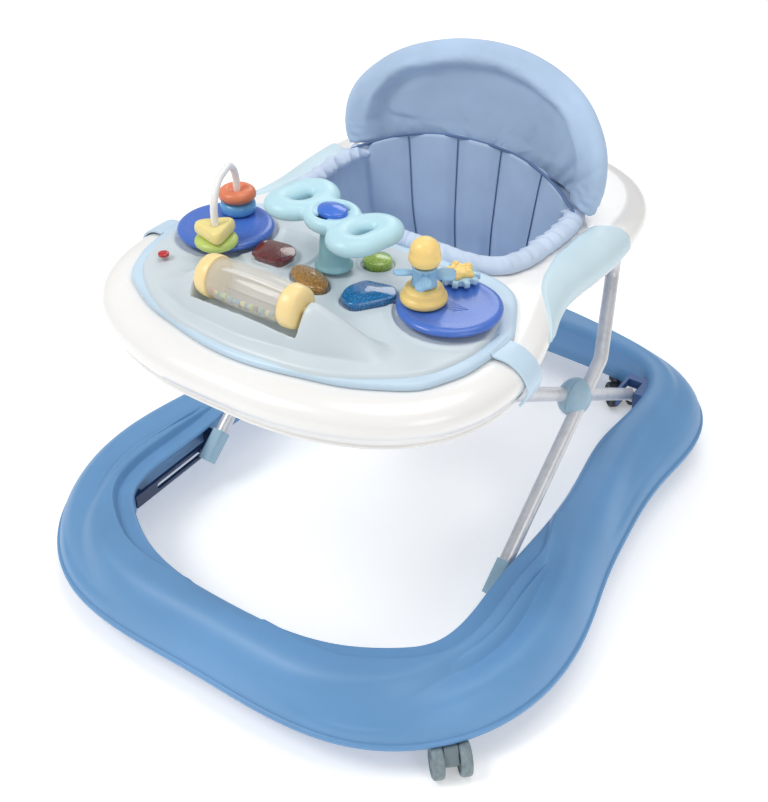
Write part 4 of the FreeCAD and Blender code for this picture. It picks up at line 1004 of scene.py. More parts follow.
def build_discs():
    profile = [(DISC_R - 2, 352.1), (DISC_R - 0.4, 352.6), (DISC_R, 354), (DISC_R - 0.5, 355.6),
               (DISC_R - 2, 357), (DISC_R - 4.5, 357.8), (DISC_R - 8, 357.9), (DISC_R - 11, 357.4),
               (DISC_R - 16, 357.2), (20, 357.6), (6, 357.9)]
    pair = []
    for side, name in ((1, "right"), (-1, "left")):
        place = (side * DISC_AT[0], DISC_AT[1], 0)
        pair.append(lathe("disc_" + name, profile, place, M["disc"], segments=96))
    for k in range(9):
        x = 112 + 3.1 * k
        pair.append(tube_along("hatch", [(x - 4, -134 - 0.4 * k, 357.5), (x + 5, -124 - 0.4 * k, 357.6)],
                               0.55, M["disc"], 8))
    discs = join("toy_disc_pair", pair)
    settle(discs, "tray", "toy_discs")


def domed_key(name, shape, z0, side, dome, material, rim=1.2):
    """A button over a plan shape: a short wall, a rounded shoulder and a slightly domed top."""
    centre = shape.mean(0)
    levels = [np.column_stack([shape, np.full(len(shape), z0)])]
    levels.append(np.column_stack([shape, np.full(len(shape), side - rim)]))
    out = outward(shape)
    for share in (0.35, 0.7, 1.0):
        drop = rim * (1 - math.sin(0.5 * math.pi * share))
        inset = rim * (1 - math.cos(0.5 * math.pi * share))
        levels.append(np.column_stack([shape - out * inset, np.full(len(shape), side - drop)]))
    inner = shape - out * rim
    for share in np.linspace(0.95, 0.05, 14):
        flat = centre + (inner - centre) * share
        levels.append(np.column_stack([flat, np.full(len(shape), side + dome * (1 - share ** 2))]))
    return capped_piece(name, levels, material)


KEY_BOTTOM = 346.4
KEY_TOP = 354.4 - 0.6
RED_KEY_TOP = 354.4 + 1.8


def build_keys():
    finishes = {"key_red": "red_key", "key_blue": "blue_key", "key_amber": "amber_key",
                "key_green": "green_key"}
    for name, shape in KEY_SHAPES.items():
        inset = shape - outward(shape) * 0.4
        top = RED_KEY_TOP if name == "key_red" else KEY_TOP
        key = domed_key(name + "_cap", inset, KEY_BOTTOM, top, 2.2, M[finishes[name]], 1.6)
        settle(key, body_of(name), name)


# ---------------------------------------------------------------- steering wheel
def turned(points, degrees, centre):
    c, s = math.cos(math.radians(degrees)), math.sin(math.radians(degrees))
    out = np.array(points, float)
    x = out[:, 0].copy()
    y = out[:, 1].copy()
    out[:, 0] = centre[0] + c * x - s * y
    out[:, 1] = centre[1] + s * x + c * y
    return out


LOBE = [(25, 0), (28, 13), (36, 22), (47, 24), (55.5, 17), (57.5, 0), (55.5, -17), (47, -24), (36, -22),
        (28, -13)]
WEB = [(4, 0), (12, 18), (27, 17), (33, 0), (27, -17), (12, -18)]
BOSS = [(18, -10), (23, -9), (26, -5.5), (27.4, 0), (26.8, 5), (24.5, 9.4), (20.8, 11), (18.4, 10.2),
        (17.2, 7), (16.8, 1)]
COLUMN = [(17.5, 352.2), (17.5, 353.6), (15.6, 355), (14.4, 358), (13.4, 366), (12.4, 378), (11.6, 388),
          (11.4, 393.4), (5.2, 393.6), (5.2, 396)]


def build_wheel():
    parts = []
    for side in (-1, 1):
        path = closed_spline([(side * x, y) for x, y in LOBE], 72)
        rise = 1.5 * ramp(np.abs(path[:, 0]), 20, 56)
        path3 = np.column_stack([path, rise])
        thick = 11.4 + 1.6 * np.clip(np.abs(path[:, 1]) / 24, 0, 1) ** 2
        parts.append(tube_along("lobe", path3, thick, M["aqua"], 20, closed=True))
        web = closed_spline([(side * x, y) for x, y in WEB], 40)
        layers = ((0.8, -8), (1, -5.5), (1, 5.5), (0.8, 8))
        web3 = [np.column_stack([web * k, np.full(len(web), z)]) for k, z in layers]
        parts.append(capped_piece("web", web3, M["aqua"]))
    parts.append(lathe("boss", BOSS, (0, 0, 0), M["aqua"], segments=64,
                       ripple=lambda r, a, h: r * (1 - 0.06 * np.abs(np.sin(a)) ** 2)))
    wheel = join("wheel_moulding", parts)
    wheel = remeshed(wheel, 1.5, 9)
    co = coordinates(wheel)
    co[:, 2] = co[:, 2] * 0.7
    co[:, 2] += WHEEL_MID
    set_coordinates(wheel, turned(co, WHEEL_TURN, COLUMN_AT))
    wheel.data.materials.clear()
    wheel.data.materials.append(M["aqua"])
    settle(wheel, "steering_wheel", "steering_wheel")
    # Painted shade: a dark sheet under the horn button shows as a dark ring and stands for the shadow in the
    # gap round it.
    well = turned(oval((0, 0), (17.2, 14.6), 0, 64), WHEEL_TURN, COLUMN_AT)
    gap = domed_key("wheel_button_well", well, 398.5, 403.2, 0.0, M["dark"], 0.5)
    settle(gap, "steering_wheel")
    shape = turned(oval((0, 0), (15.2, 12.2), 0, 72), WHEEL_TURN, COLUMN_AT)
    button = domed_key("horn_cap", shape, 403.4, 409.4, 2.2, M["button"], 2.4)
    settle(button, "horn_button", "horn_button")
    column = lathe("column_cone", COLUMN, COLUMN_AT + (0,), M["teal"], segments=64)
    settle(column, "tray", "steering_column")


# ---------------------------------------------------------------- drum
DRUM_SEGMENTS = 144
DRUM_WALL = 1.3
LOOSE_BEADS = 30
DRUM_RIBS = (20, 64, 112, 158, 205, 250, 296, 340)


def drum_ribs(turn):
    """The fine ribs along the barrel, as an addition to its radius."""
    return sum(0.55 * np.exp(-((np.degrees(turn) - rib) / 3.0) ** 2) for rib in DRUM_RIBS)


def drum_radius(h):
    return 17.2 + 2.6 * (1 - (np.abs(h) / DRUM_HALF) ** 2.2)


def build_drum():
    cx, cy, cz = DRUM_AT

    hs = np.linspace(-DRUM_HALF, DRUM_HALF, 30)
    outer = [(drum_radius(h), h) for h in hs]
    inner = [(drum_radius(h) - DRUM_WALL, h) for h in hs[::-1]]
    turn = full_turn(DRUM_SEGMENTS)
    levels = []
    for k, (r, h) in enumerate(outer + inner):
        radius = np.full(DRUM_SEGMENTS, r)
        if k < len(outer):
            radius = radius + drum_ribs(turn)
        row = [np.full(DRUM_SEGMENTS, cx + h), cy + radius * np.cos(turn), cz + radius * np.sin(turn)]
        levels.append(np.column_stack(row))
    barrel = ring_piece("drum_shell", levels, M["clear"])
    settle(barrel, "drum", "drum_barrel")
    caps = []
    for side, name in ((1, "right"), (-1, "left")):
        profile = [(16.4, 38.2), (18.7, 38.0), (19.2, 39), (19.2, 42), (19.0, 45), (18.5, 48), (17.6, 50.4),
                   (16.0, 52), (13.4, 53), (9, 53.2), (3.0, 53.2), (2.5, 53.8), (2.5, 58.8)]
        caps.append(lathe("cap_" + name, [(r, side * h) for r, h in profile], (cx, cy, cz), M["cream"], "X",
                          72))
    both = join("drum_end_caps", caps)
    settle(both, "drum", "drum_caps")
    card_rows = []
    for h in np.linspace(-36, 36, 20):
        row = []
        for a in np.radians(np.linspace(-62, 88, 16)):
            r = drum_radius(h) - 5.0
            row.append((cx + h, cy + r * math.cos(a), cz - 1.5 + r * math.sin(a) * 0.8))
        card_rows.append(row)
    top = np.array(card_rows).reshape(-1, 3)
    card = closed_patch("drum_card_strip", top, top - np.array([0, 0.5, 0.5]), 20, 16, M["card"])
    settle(card, "drum")
    rng = np.random.default_rng(7)
    beads = []
    colours = ["lemon", "lime", "sky", "maroon", "teal", "orange"]
    for k in range(LOOSE_BEADS):
        h = -35 + 70 * (k % 15) / 14 + rng.uniform(-1.2, 1.2)
        row = k // 15
        a = math.radians(-158 + 22 * row + rng.uniform(-5, 5))
        r = drum_radius(h) - 4.3 - 0.3 * row
        place = (cx + h, cy + r * math.cos(a), cz + r * math.sin(a))
        size = 2.3 + rng.uniform(-0.2, 0.3)
        profile = [(0.7, -0.72), (1.0, -0.9), (1.7, -0.86), (2.3, -0.4), (2.4, 0.1), (2.1, 0.6), (1.5, 0.88),
                   (1.0, 0.9), (0.7, 0.7)]
        scaled = [(p * size / 2.4, q * size) for p, q in profile]
        beads.append(lathe("small_bead", scaled, place, M[colours[int(rng.integers(0, 6))]],
                           "X" if k % 2 else "Z", 16))
    loose = join("drum_loose_beads", beads)
    settle(loose, "drum", "drum_beads")


# ---------------------------------------------------------------- bead arch
WEDGE_R = 27.0


def build_arch():
    a = np.array(ARCH_FRONT)
    b = np.array(ARCH_REAR)
    top = ARCH_TOP - ARCH_R
    lean = (b - a) / np.linalg.norm(b - a)
    path = [(a[0], a[1], z) for z in np.linspace(DISC_TOP - 0.6, top - ARCH_BEND, 16)]
    for t in np.linspace(0, 0.5 * math.pi, 14)[1:]:
        flat = a + lean * ARCH_BEND * (1 - math.cos(t))
        path.append((flat[0], flat[1], top - ARCH_BEND + ARCH_BEND * math.sin(t)))
    for t in np.linspace(0.5 * math.pi, 0, 14)[1:]:
        flat = b - lean * ARCH_BEND * (1 - math.cos(t))
        path.append((flat[0], flat[1], top - ARCH_BEND + ARCH_BEND * math.sin(t)))
    path += [(b[0], b[1], z) for z in np.linspace(top - ARCH_BEND, DISC_TOP - 0.6, 16)[1:]]
    tube = tube_along("arch_tube", path, ARCH_R, M["arch"], 28)
    feet = [lathe("arch_foot", [(7.5, 357.4), (7.5, 358.1), (6.6, 358.3), (4.4, 358.3), (3.6, 358.25)],
                  (p[0], p[1], 0), M["arch"])
            for p in (a, b)]
    arch = join("arch_rail", [tube] + feet)
    settle(arch, "tray", "bead_arch")
    hole = ARCH_R + 0.1
    green = [(hole, 359.5), (hole + 0.6, 358.6), (15, 358.4), (18, 359), (19.8, 361), (20, 363.5),
             (18.8, 365.4), (16.4, 366.4), (13, 366.9), (8, 367.2), (hole + 0.6, 367.2), (hole, 366.6)]
    ringed_bead("bead_green_cup", "bead_green", green, ARCH_FRONT, "lime")
    blue = [(hole, 359.4), (hole + 0.6, 358.5), (13, 358.5), (15.8, 359.4), (17, 362), (17, 366.5),
            (16.2, 369), (13.8, 370.4), (9, 370.9), (hole + 0.6, 370.9), (hole, 370.2)]
    ringed_bead("bead_blue_ring", "bead_blue", blue, ARCH_REAR, "sky")
    orange = [(hole, 372.2), (hole + 0.6, 371.4), (12, 371.4), (15.6, 372.2), (17.8, 374.6), (18.2, 377.4),
              (17.2, 380.2), (15, 382), (12.4, 383), (9.6, 383.2), (8.2, 382.4), (6.8, 381),
              (hole + 0.5, 380.6), (hole, 380)]
    ringed_bead("bead_orange_dome", "bead_orange", orange, ARCH_REAR, "orange")
    corners = []
    for turn in (75, 195, 315):
        angle = math.radians(turn)
        corners.append((WEDGE_R * math.cos(angle), WEDGE_R * math.sin(angle)))
    outline = resample(rounded(corners, 14, 8), 96)
    inner = oval((0, 0), (hole, hole), math.degrees(math.atan2(outline[0][1], outline[0][0])), 96)
    levels = []
    for share, z in ((0.78, 367.7), (0.92, 368.3), (0.99, 369.8), (1.0, 372), (0.985, 375), (0.93, 377.6),
                     (0.84, 379.2), (0.7, 379.7), (0.52, 379.4), (0.38, 378.8)):
        levels.append(np.column_stack([outline * share + np.array(ARCH_FRONT), np.full(96, z)]))
    levels.append(np.column_stack([inner * 1.15 + np.array(ARCH_FRONT), np.full(96, 378.5)]))
    levels.append(np.column_stack([inner + np.array(ARCH_FRONT), np.full(96, 377.9)]))
    levels.append(np.column_stack([inner + np.array(ARCH_FRONT), np.full(96, 368.4)]))
    levels.append(np.column_stack([inner * 1.3 + np.array(ARCH_FRONT), np.full(96, 367.7)]))
    yellow = ring_piece("bead_yellow_wedge", levels, M["lemon"])
    settle(yellow, body_of("bead_yellow"), "bead_yellow")


def ringed_bead(name, node, profile, place, finish):
    turn = full_turn(80)
    levels = [circle(place, radius, z, turn) for radius, z in profile]
    bead = ring_piece(name, levels, M[finish])
    settle(bead, body_of(node), node)


# ---------------------------------------------------------------- figure and flower
def build_figure():
    x, y = FIGURE_AT
    foot = [(15, 358.0), (18.4, 358.4), (20.2, 360), (20.6, 362.4), (20, 364.6), (18.4, 366), (17.4, 367),
            (17.4, 369.5), (16.4, 371.6), (14, 372.8), (8, 373.1), (4, 373.1), (4, 373.6), (4, 396)]
    body = lathe("figure_foot", foot, (x, y, 0), M["figure"], segments=80)
    head = [(4, 392.2), (8.5, 392.9), (12.4, 395.4), (13.9, 399), (14.0, 402), (13.3, 404.4), (12.8, 405.2),
            (12.9, 407), (12.2, 410.6), (10.2, 414), (7.2, 416.6), (3.4, 418.1), (0.8, 418.4)]
    top = lathe("figure_head", head, (x, y, 0), M["figure"], segments=72)
    figure = join("figure_toy", [body, top])
    settle(figure, "tray", "figure_body")
    turn = full_turn(120)
    pieces = []
    rows = [(4.1, 374.4), (9.6, 374.2), (11, 375), (10.6, 376.5), (9.8, 379), (9.6, 384), (9.8, 389),
            (10.8, 391.2), (10.2, 392), (4.1, 392)]
    levels = []
    for radius, z in rows:
        r = np.full(120, float(radius))
        if 8 < radius and 376 < z < 390:
            r = r + 0.55 * np.cos(14 * turn)
        levels.append(circle((x, y), r, z, turn))
    pieces.append(ring_piece("collar", levels, M["blade"]))
    for k in range(4):
        pieces.append(blade(k))
    spinner = join("figure_propeller", pieces)
    settle(spinner, body_of("propeller"), "propeller")


FIRST_BLADE = 30


def blade(k):
    """A paddle with a dished, ribbed face."""
    rows, cols = 26, 20
    top = []
    low = []
    for i in range(rows):
        t = i / (rows - 1)
        reach = 8 + 18.5 * t
        half = 3.6 + 3.4 * ramp(t, 0.05, 0.5)
        half = half * math.sqrt(max(0.02, 1 - max(0.0, (t - 0.7) / 0.3) ** 2.4))
        for j in range(cols):
            s = 2 * j / (cols - 1) - 1
            rib = 0.45 * math.cos(s * 4.5 * math.pi) * (1 - abs(s) ** 6) * ramp(t, 0.15, 0.3)
            arch = 3.1 * math.sqrt(max(0.0, 1 - s * s * 0.96)) * (1 - 0.35 * t)
            sweep = 1.5 * s
            top.append((reach, half * s, 384.5 + arch + rib + sweep))
            low.append((reach, half * s, 384.5 - 0.75 * arch + sweep))
    spin = FIRST_BLADE + 90 * k
    return closed_patch("blade", turned(top, spin, FIGURE_AT), turned(low, spin, FIGURE_AT), rows, cols,
                        M["blade"])


def build_flower():
    x, y = FLOWER_AT
    turn = full_turn(240)
    tooth = ramp(np.cos(10 * turn), -0.25, 0.35)
    levels = []
    for share, z in ((0.0, 360.2), (0.9, 360.4), (1.0, 361.4), (1.0, 364.6), (0.9, 365.6), (-1.6, 366.0),
                     (-8, 366.1), (-9.5, 366.1)):
        r = 13.4 + 4.9 * tooth * max(share, 0.0) + min(share, 0.0)
        levels.append(circle((x, y), r, z, turn))
    levels += [circle((x, y), 2.6, z, turn) for z in (365.9, 360.4)]
    gear = ring_piece("gear_wheel", levels, M["gear"])
    petals = []
    shape = 11.6 + 2.5 * np.cos(5 * turn)
    for share, z in ((0.9, 365.9), (1.0, 366.6), (1.0, 368.8), (0.93, 370.3), (0.8, 371.0), (0.55, 371.0),
                     (0.46, 370.2), (0.40, 369.4), (0.30, 369.5), (0.12, 370.2)):
        r = shape * share
        petals.append(circle((x, y), r, z, turn))
    flower = capped_piece("petals", petals, M["flower"])
    studs = []
    for k in range(5):
        a = math.radians(72 * k)
        place = (x + 9.2 * math.cos(a), y + 9.2 * math.sin(a), 0)
        profile = [(2.5, 370.3), (2.7, 371.3), (2.2, 371.9), (1.5, 371.9), (1.1, 371.2), (0.4, 370.9)]
        studs.append(lathe("stud", profile, place, M["flower"], segments=28))
    whole = join("flower_wheel", [gear, flower] + studs)
    settle(whole, body_of("flower_gear"), "flower_gear")


# ---------------------------------------------------------------- seat
SEAM_TOP = 375.0
PANEL_SEAMS = (-80.0, -26.0, 26.0, 80.0)
LEG_HOLE = 40.0
LEG_AT = np.array([40.0, 36.0, 236.0])
LEG_TOWARDS = np.array([52.0, -22.0, -118.0])


def seam_line(x):
    """Where the back panels meet the hood, as (y, z), at a distance from the middle."""
    share = np.clip(np.abs(x) / 138.0, 0, 1)
    return 134 - 44 * share ** 2.2, SEAM_TOP - 30 * share ** 2.6


BAG_ROWS = 46
# Wall of the bag, from its top edge down: (offset from the seat opening, height).
BAG_WALL = [(-3.5, TRAY_TOP + 1), (-3.6, 330), (-4.4, 318), (-7, 300), (-10, 280), (-15, 258), (-22, 235),
            (-30, 215), (-40, 195), (-50, 179), (-62, 167)]
BAG_THICK = 3.2


def build_bag():
    rays = 300
    turns = np.linspace(-math.pi, math.pi, rays, endpoint=False)
    share = np.linspace(0, 1, BAG_ROWS)
    knots = np.linspace(0, 1, len(BAG_WALL))
    offsets = np.interp(share, knots, [row[0] for row in BAG_WALL])
    heights = np.interp(share, knots, [row[1] for row in BAG_WALL])
    base_loop = plan_loop(SEAT_OPENING)
    levels = []
    for offset, z in zip(offsets, heights):
        flat = on_rays(base_loop + outward(base_loop) * offset, TRAY_CENTRE, rays)
        levels.append(np.column_stack([flat, np.full(rays, z)]))
    levels = np.array(levels)
    back = ramp(levels[0][:, 1], 84, 120)
    for k in range(BAG_ROWS):
        seam_y, seam_z = seam_line(levels[k][:, 0])
        lift = back * (1 - ramp(share[k], 0.0, 0.42))
        levels[k][:, 2] += lift * (seam_z - 337) * (1 - share[k] / 0.42 if share[k] < 0.42 else 0)
        pull = back * (1 - ramp(share[k], 0.35, 0.95))
        target = np.minimum(levels[k][:, 1], seam_y - 16 * share[k])
        levels[k][:, 1] = levels[k][:, 1] * (1 - pull) + target * pull
    puffs = np.zeros((BAG_ROWS, rays))
    for k in range(BAG_ROWS):
        x = levels[k][:, 0] / (1 - 0.30 * share[k])
        seams = np.min([np.abs(x - s) for s in PANEL_SEAMS], 0)
        puffs[k] = back * 4.2 * (1 - np.exp(-(seams / 9.0) ** 2))
        folds = 1.1 * np.sin(19 * turns + 2 * np.sin(3 * turns)) + 0.8 * np.sin(37 * turns + 1.3)
        puffs[k] += (1 - back) * folds * ramp(share[k], 0.0, 0.15) * (1 - ramp(share[k], 0.55, 0.9))
    for k in range(BAG_ROWS):
        inward = np.array(TRAY_CENTRE) - levels[k][:, :2]
        inward /= np.linalg.norm(inward, axis=1)[:, None]
        levels[k][:, :2] += inward * puffs[k][:, None]
    bottom = levels[-1]
    centre = bottom.mean(0)
    extra = [centre + (bottom - centre) * s + np.array([0, 0, -2.0 * (1 - s)])
             for s in (0.85, 0.65, 0.45, 0.25, 0.08)]
    stack = list(levels) + extra
    points, faces = leg_holes(np.vstack(stack), grid_faces(len(stack), rays, False, True), len(stack) * rays)
    last = (len(stack) - 1) * rays
    points = np.vstack([points, stack[-1].mean(0)])
    faces += [(len(points) - 1, last + j, last + (j + 1) % rays) for j in range(rays)]
    bag = make_object("seat_shell", points, faces, M["cloth"])
    drop_loose(bag)
    thick = bag.modifiers.new("thick", "SOLIDIFY")
    thick.thickness = BAG_THICK * MM
    side = coordinates(bag)[:rays] - np.array(TRAY_CENTRE + (TRAY_TOP,))
    thick.offset = 1.0 if (side * normals(bag)[:rays]).sum() > 0 else -1.0
    apply_modifiers(bag)
    bag.data.polygons.foreach_set("use_smooth", [True] * len(bag.data.polygons))
    settle(bag, "tray", "seat_bag")
    build_seams(levels)


def leg_holes(points, faces, count):
    """Opens a round hole for each leg: inner faces go, and the edge points are set on the circle."""
    inside = np.zeros(count, bool)
    for side in (-1, 1):
        flip = np.array([side, 1, 1])
        start = LEG_AT * flip
        axis = LEG_TOWARDS * flip
        axis /= np.linalg.norm(axis)
        away = points - start
        depth = away @ axis
        out = away - depth[:, None] * axis
        reach = np.linalg.norm(out, axis=1)
        near = (reach < LEG_HOLE) & (depth > 0)
        inside |= near
        moved = start + depth[:, None] * axis + out * (LEG_HOLE / np.maximum(reach, 1e-6))[:, None]
        points = np.where(near[:, None], moved, points)
    return points, [face for face in faces if not all(inside[k] for k in face)]


def drop_loose(piece):
    work = bmesh.new()
    work.from_mesh(piece.data)
    bmesh.ops.delete(work, geom=[v for v in work.verts if not v.link_faces], context="VERTS")
    work.to_mesh(piece.data)
    work.free()


def build_seams(levels):
    """Piping along the arched seam where the back panels meet the hood, and down between the panels."""
    xs = np.linspace(-136, 136, 90)
    y, z = seam_line(xs)
    lines = [tube_along("arched_seam", np.column_stack([xs, y - 2.4, z - 0.4]), 1.5, M["thread"], 12)]
    for seam in PANEL_SEAMS:
        path = []
        for k in range(1, 30):
            row = levels[k]
            row = row[row[:, 1] > 80]
            row = row[np.argsort(row[:, 0])]
            x = seam * (1 - 0.30 * k / (BAG_ROWS - 1))
            path.append((x, np.interp(x, row[:, 0], row[:, 1]) - 0.7, np.interp(x, row[:, 0], row[:, 2])))
        lines.append(tube_along("panel_seam", path, 0.65, M["thread"], 10))
    piping = join("seat_seams", lines)
    settle(piping, "tray")


GATHER_DEPTH = 1.8


def build_rim():
    rays = 720
    turns = np.linspace(-math.pi, math.pi, rays, endpoint=False)
    gather = 1.0 * np.sin(46 * turns + 2.5 * np.sin(5 * turns)) + 0.7 * np.sin(71 * turns
                                                                               + 1.7 * np.sin(3 * turns)
                                                                               + 0.6)
    gather += 0.6 * np.sin(23 * turns + 0.9)
    gather *= GATHER_DEPTH
    section = [(7.6, 336.6, 0.0), (9.2, 338.2, 0.15), (9.8, 341, 0.3), (8.8, 344.4, 0.5), (6.2, 347.4, 0.7),
               (2.4, 349.3, 0.8), (-1.8, 349.8, 0.9), (-5.4, 349.0, 1.2), (-7.8, 347.6, 1.6),
               (-9.2, 346.4, 2.0), (-10.2, 344.8, 1.6), (-10.2, 342, 0.9), (-9.4, 339.4, 0.5),
               (-7, 337.6, 0.2), (-3, 336.9, 0.1), (2, 336.6, 0.0)]
    base_loop = plan_loop(SEAT_OPENING)
    levels = []
    for offset, z, amount in section:
        flat = on_rays(base_loop + outward(base_loop) * offset, TRAY_CENTRE, rays)
        away = flat - np.array(TRAY_CENTRE)
        away /= np.linalg.norm(away, axis=1)[:, None]
        back = ramp(flat[:, 1], 96, 128)
        swing = gather * amount * (1 - back)
        flat = flat + away * swing[:, None] * 0.8
        height = z + gather * amount * 0.45 * (1 - back) - back * 3.0 * ramp(z, 342, 350)
        levels.append(np.column_stack([flat, height]))
    rim = ring_piece("seat_ruffle", levels, M["ruffle"])
    settle(rim, "tray", "seat_rim")


HOOD_FOOT = (96.0, 351.0)
HOOD_HEIGHT = 127.0
HOOD_LEAN = 0.40
# How far back the middle of the pad stands, at shares of its height.
HOOD_SHAPE = [(0.0, 66), (0.2, 64), (0.45, 55), (0.65, 44), (0.82, 32), (0.93, 24), (1.0, 18)]


# Folds of the hood's front: place across it, lean, width and depth.
HOOD_FOLDS = [(-116, -0.5, 4.5, 1.7), (-103, -0.35, 4.0, 1.4), (-90, -0.2, 5.0, 1.2), (-30, 0.25, 9.0, 1.0),
              (10, 0.3, 8.0, 1.1), (46, 0.35, 7.0, 1.1), (84, 0.5, 6.0, 1.3), (104, 0.75, 5.0, 1.6),
              (120, 1.1, 4.0, 1.8)]
HOOD_OUTLINE = [(-141, 0), (-147, 24), (-144, 54), (-130, 78), (-104, 99), (-71, 112), (-37, 119), (0, 121.5),
                (37, 119), (71, 112), (104, 99), (130, 78), (146, 54), (150, 24), (144, 0)]
HOOD_BOW = 200.0
HOOD_ROLL = 12.0
HOOD_RECESS = 7.0
HOOD_COLUMNS = 104
HOOD_ROWS = 30
PUFF_CAP = 6.0


def hood_surface(x, height):
    """The middle of the pad at a place across it and a height up it."""
    fraction = np.clip(height / HOOD_HEIGHT, 0, 1)
    depth = smooth_rows(HOOD_SHAPE, fraction, 0.08)
    bow = np.sqrt(HOOD_BOW ** 2 - x ** 2) - HOOD_BOW
    y = HOOD_FOOT[0] + height * HOOD_LEAN + depth + bow - 11.0
    return np.stack([x, y, HOOD_FOOT[1] + height], -1)


def hood_shell(columns, rows):
    """A closed pad: two faces that meet along the arched outline, and a strip along the foot."""
    dense = spline_open(HOOD_OUTLINE, 2000)
    run = np.concatenate([[0], np.cumsum(np.linalg.norm(np.diff(dense, axis=0), axis=1))])
    t = np.linspace(0, run[-1], columns)
    outline = np.column_stack([np.interp(t, run, dense[:, 0]), np.interp(t, run, dense[:, 1])])
    share = (np.linspace(0, 1, rows + 1) ** 1.3 * 0.94)[:, None, None]
    flat = outline[None] * (1 - share)
    x, height = flat[..., 0], flat[..., 1]
    gap = hood_inset(x.ravel(), height.ravel()).reshape(x.shape)
    gap[0] = 0.0
    step = 1.0
    across = hood_surface(x * 0.985 + step, height) - hood_surface(x * 0.985 - step, height)
    up = hood_surface(x * 0.985, height + step) - hood_surface(x * 0.985, height - step)
    away = np.cross(across, up)
    away /= np.linalg.norm(away, axis=-1)[..., None]
    bulge = HOOD_ROLL * np.sqrt(1 - (1 - np.clip(gap / HOOD_ROLL, 0, 1)) ** 2)
    middle = hood_surface(x, height)
    front = middle + away * (bulge - HOOD_RECESS * ramp(gap, 15, 34))[..., None]
    rear = middle - away * bulge[..., None]
    levels = np.concatenate([rear[:0:-1], front])
    faces = grid_faces(2 * rows + 1, columns, False, False)
    last = 2 * rows
    for j in range(columns - 1):
        faces.append((j, j + 1, last * columns + j + 1, last * columns + j))
    for j in (0, columns - 1):
        for k in range(rows):
            low, high = k, last - k
            if k + 1 == rows:
                faces.append((low * columns + j, rows * columns + j, high * columns + j))
            else:
                faces.append((low * columns + j, (low + 1) * columns + j, (high - 1) * columns + j,
                              high * columns + j))
    return make_object("hood_pad", levels.reshape(-1, 3), faces, M["hood"])


def build_hood():
    hood = hood_shell(HOOD_COLUMNS, HOOD_ROWS)
    puff(hood, PUFF_CAP)
    hood = subdivide(hood)
    shape_hood(hood)
    hood.data.materials.clear()
    hood.data.materials.append(M["hood"])
    hood.data.polygons.foreach_set("use_smooth", [True] * len(hood.data.polygons))
    settle(hood, "tray", "back_hood")


def puff(piece, cap):
    """Inflates a pad with cloth simulation, and limits how far each point moves."""
    before = coordinates(piece)
    cloth = piece.modifiers.new("cloth", "CLOTH")
    cloth.settings.use_pressure = True
    cloth.settings.uniform_pressure_force = 4.0
    cloth.settings.effector_weights.gravity = 0.0
    cloth.settings.quality = 5
    scene = bpy.context.scene
    for number in range(1, 21):
        scene.frame_set(number)
    apply_modifiers(piece)
    moved = coordinates(piece) - before
    length = np.linalg.norm(moved, axis=1)
    share = np.minimum(1.0, cap / np.maximum(length, 1e-6))
    set_coordinates(piece, before + moved * share[:, None])
    scene.frame_set(1)


def hood_inset(x, height):
    """How far a point of the front face lies inside the hood's outline."""
    outline = spline_open(HOOD_OUTLINE, 240)
    gap = np.hypot(x[:, None] - outline[None, :, 0], height[:, None] - outline[None, :, 1])
    return gap.min(1)


def shape_hood(piece):
    """A face set back within a rolled edge, drawn folds low on it, and puckers at the lower corners."""
    co = coordinates(piece)
    out = normals(piece)
    height = co[:, 2] - HOOD_FOOT[1]
    fraction = height / HOOD_HEIGHT
    front = ramp(-out[:, 1], 0.15, 0.7)
    inset = hood_inset(co[:, 0], height)
    low = 1 - ramp(fraction, 0.15, 0.6)
    fold = np.zeros(len(co))
    for x, lean, width, depth in HOOD_FOLDS:
        line = x + lean * (co[:, 2] - 372)
        fold -= depth * np.exp(-((co[:, 0] - line) / width) ** 2)
    co = co + out * (fold * front * low)[:, None]
    groove = np.exp(-((inset - 31) / 3.0) ** 2) * (1 - ramp(fraction, 0.35, 0.8))
    co = co - out * (1.4 * groove * front)[:, None]
    corner = np.exp(-((np.abs(co[:, 0]) - 138) / 14.0) ** 2) * (1 - ramp(fraction, 0.0, 0.3))
    pucker = np.sin(0.5 * co[:, 2] + 0.32 * co[:, 0]) + 0.6 * np.sin(0.8 * co[:, 2] - 0.2 * co[:, 1])
    co = co + out * (pucker * 0.9 * corner)[:, None]
    set_coordinates(piece, co)


# ---------------------------------------------------------------- casters, caps and hubs
def caster_frame(wheels, side):
    toe = math.radians(90 + SWIVEL_TOE)
    stem = np.array([wheels[0] + CASTER_TRAIL * math.cos(toe), wheels[1] + CASTER_TRAIL * math.sin(toe)])
    trail = np.array(wheels) - stem
    trail /= np.linalg.norm(trail)
    axle = np.array([-trail[1], trail[0]])
    if side > 0:
        return np.array(wheels), axle
    turn = math.radians(LEFT_TURN)
    spin = np.array([[math.cos(turn), -math.sin(turn)], [math.sin(turn), math.cos(turn)]])
    stem = stem * np.array([-1.0, 1.0])
    return stem + spin @ trail * CASTER_TRAIL, spin @ axle


WHEEL_PROFILE = [(3.4, 5.4), (4.6, 5.6), (5.4, 4.6), (6.2, 4.2), (10.8, 4.0), (11.8, 4.6), (12.6, 5.4),
                 (14.2, 5.4), (15.4, 4.6), (16, 3.0), (16, -3.0), (15.4, -4.6), (14.2, -5.4), (12.6, -5.4),
                 (11.8, -4.6), (10.8, -4.0), (6.2, -4.2), (5.4, -4.6), (4.6, -5.4), (3.4, -5.4)]


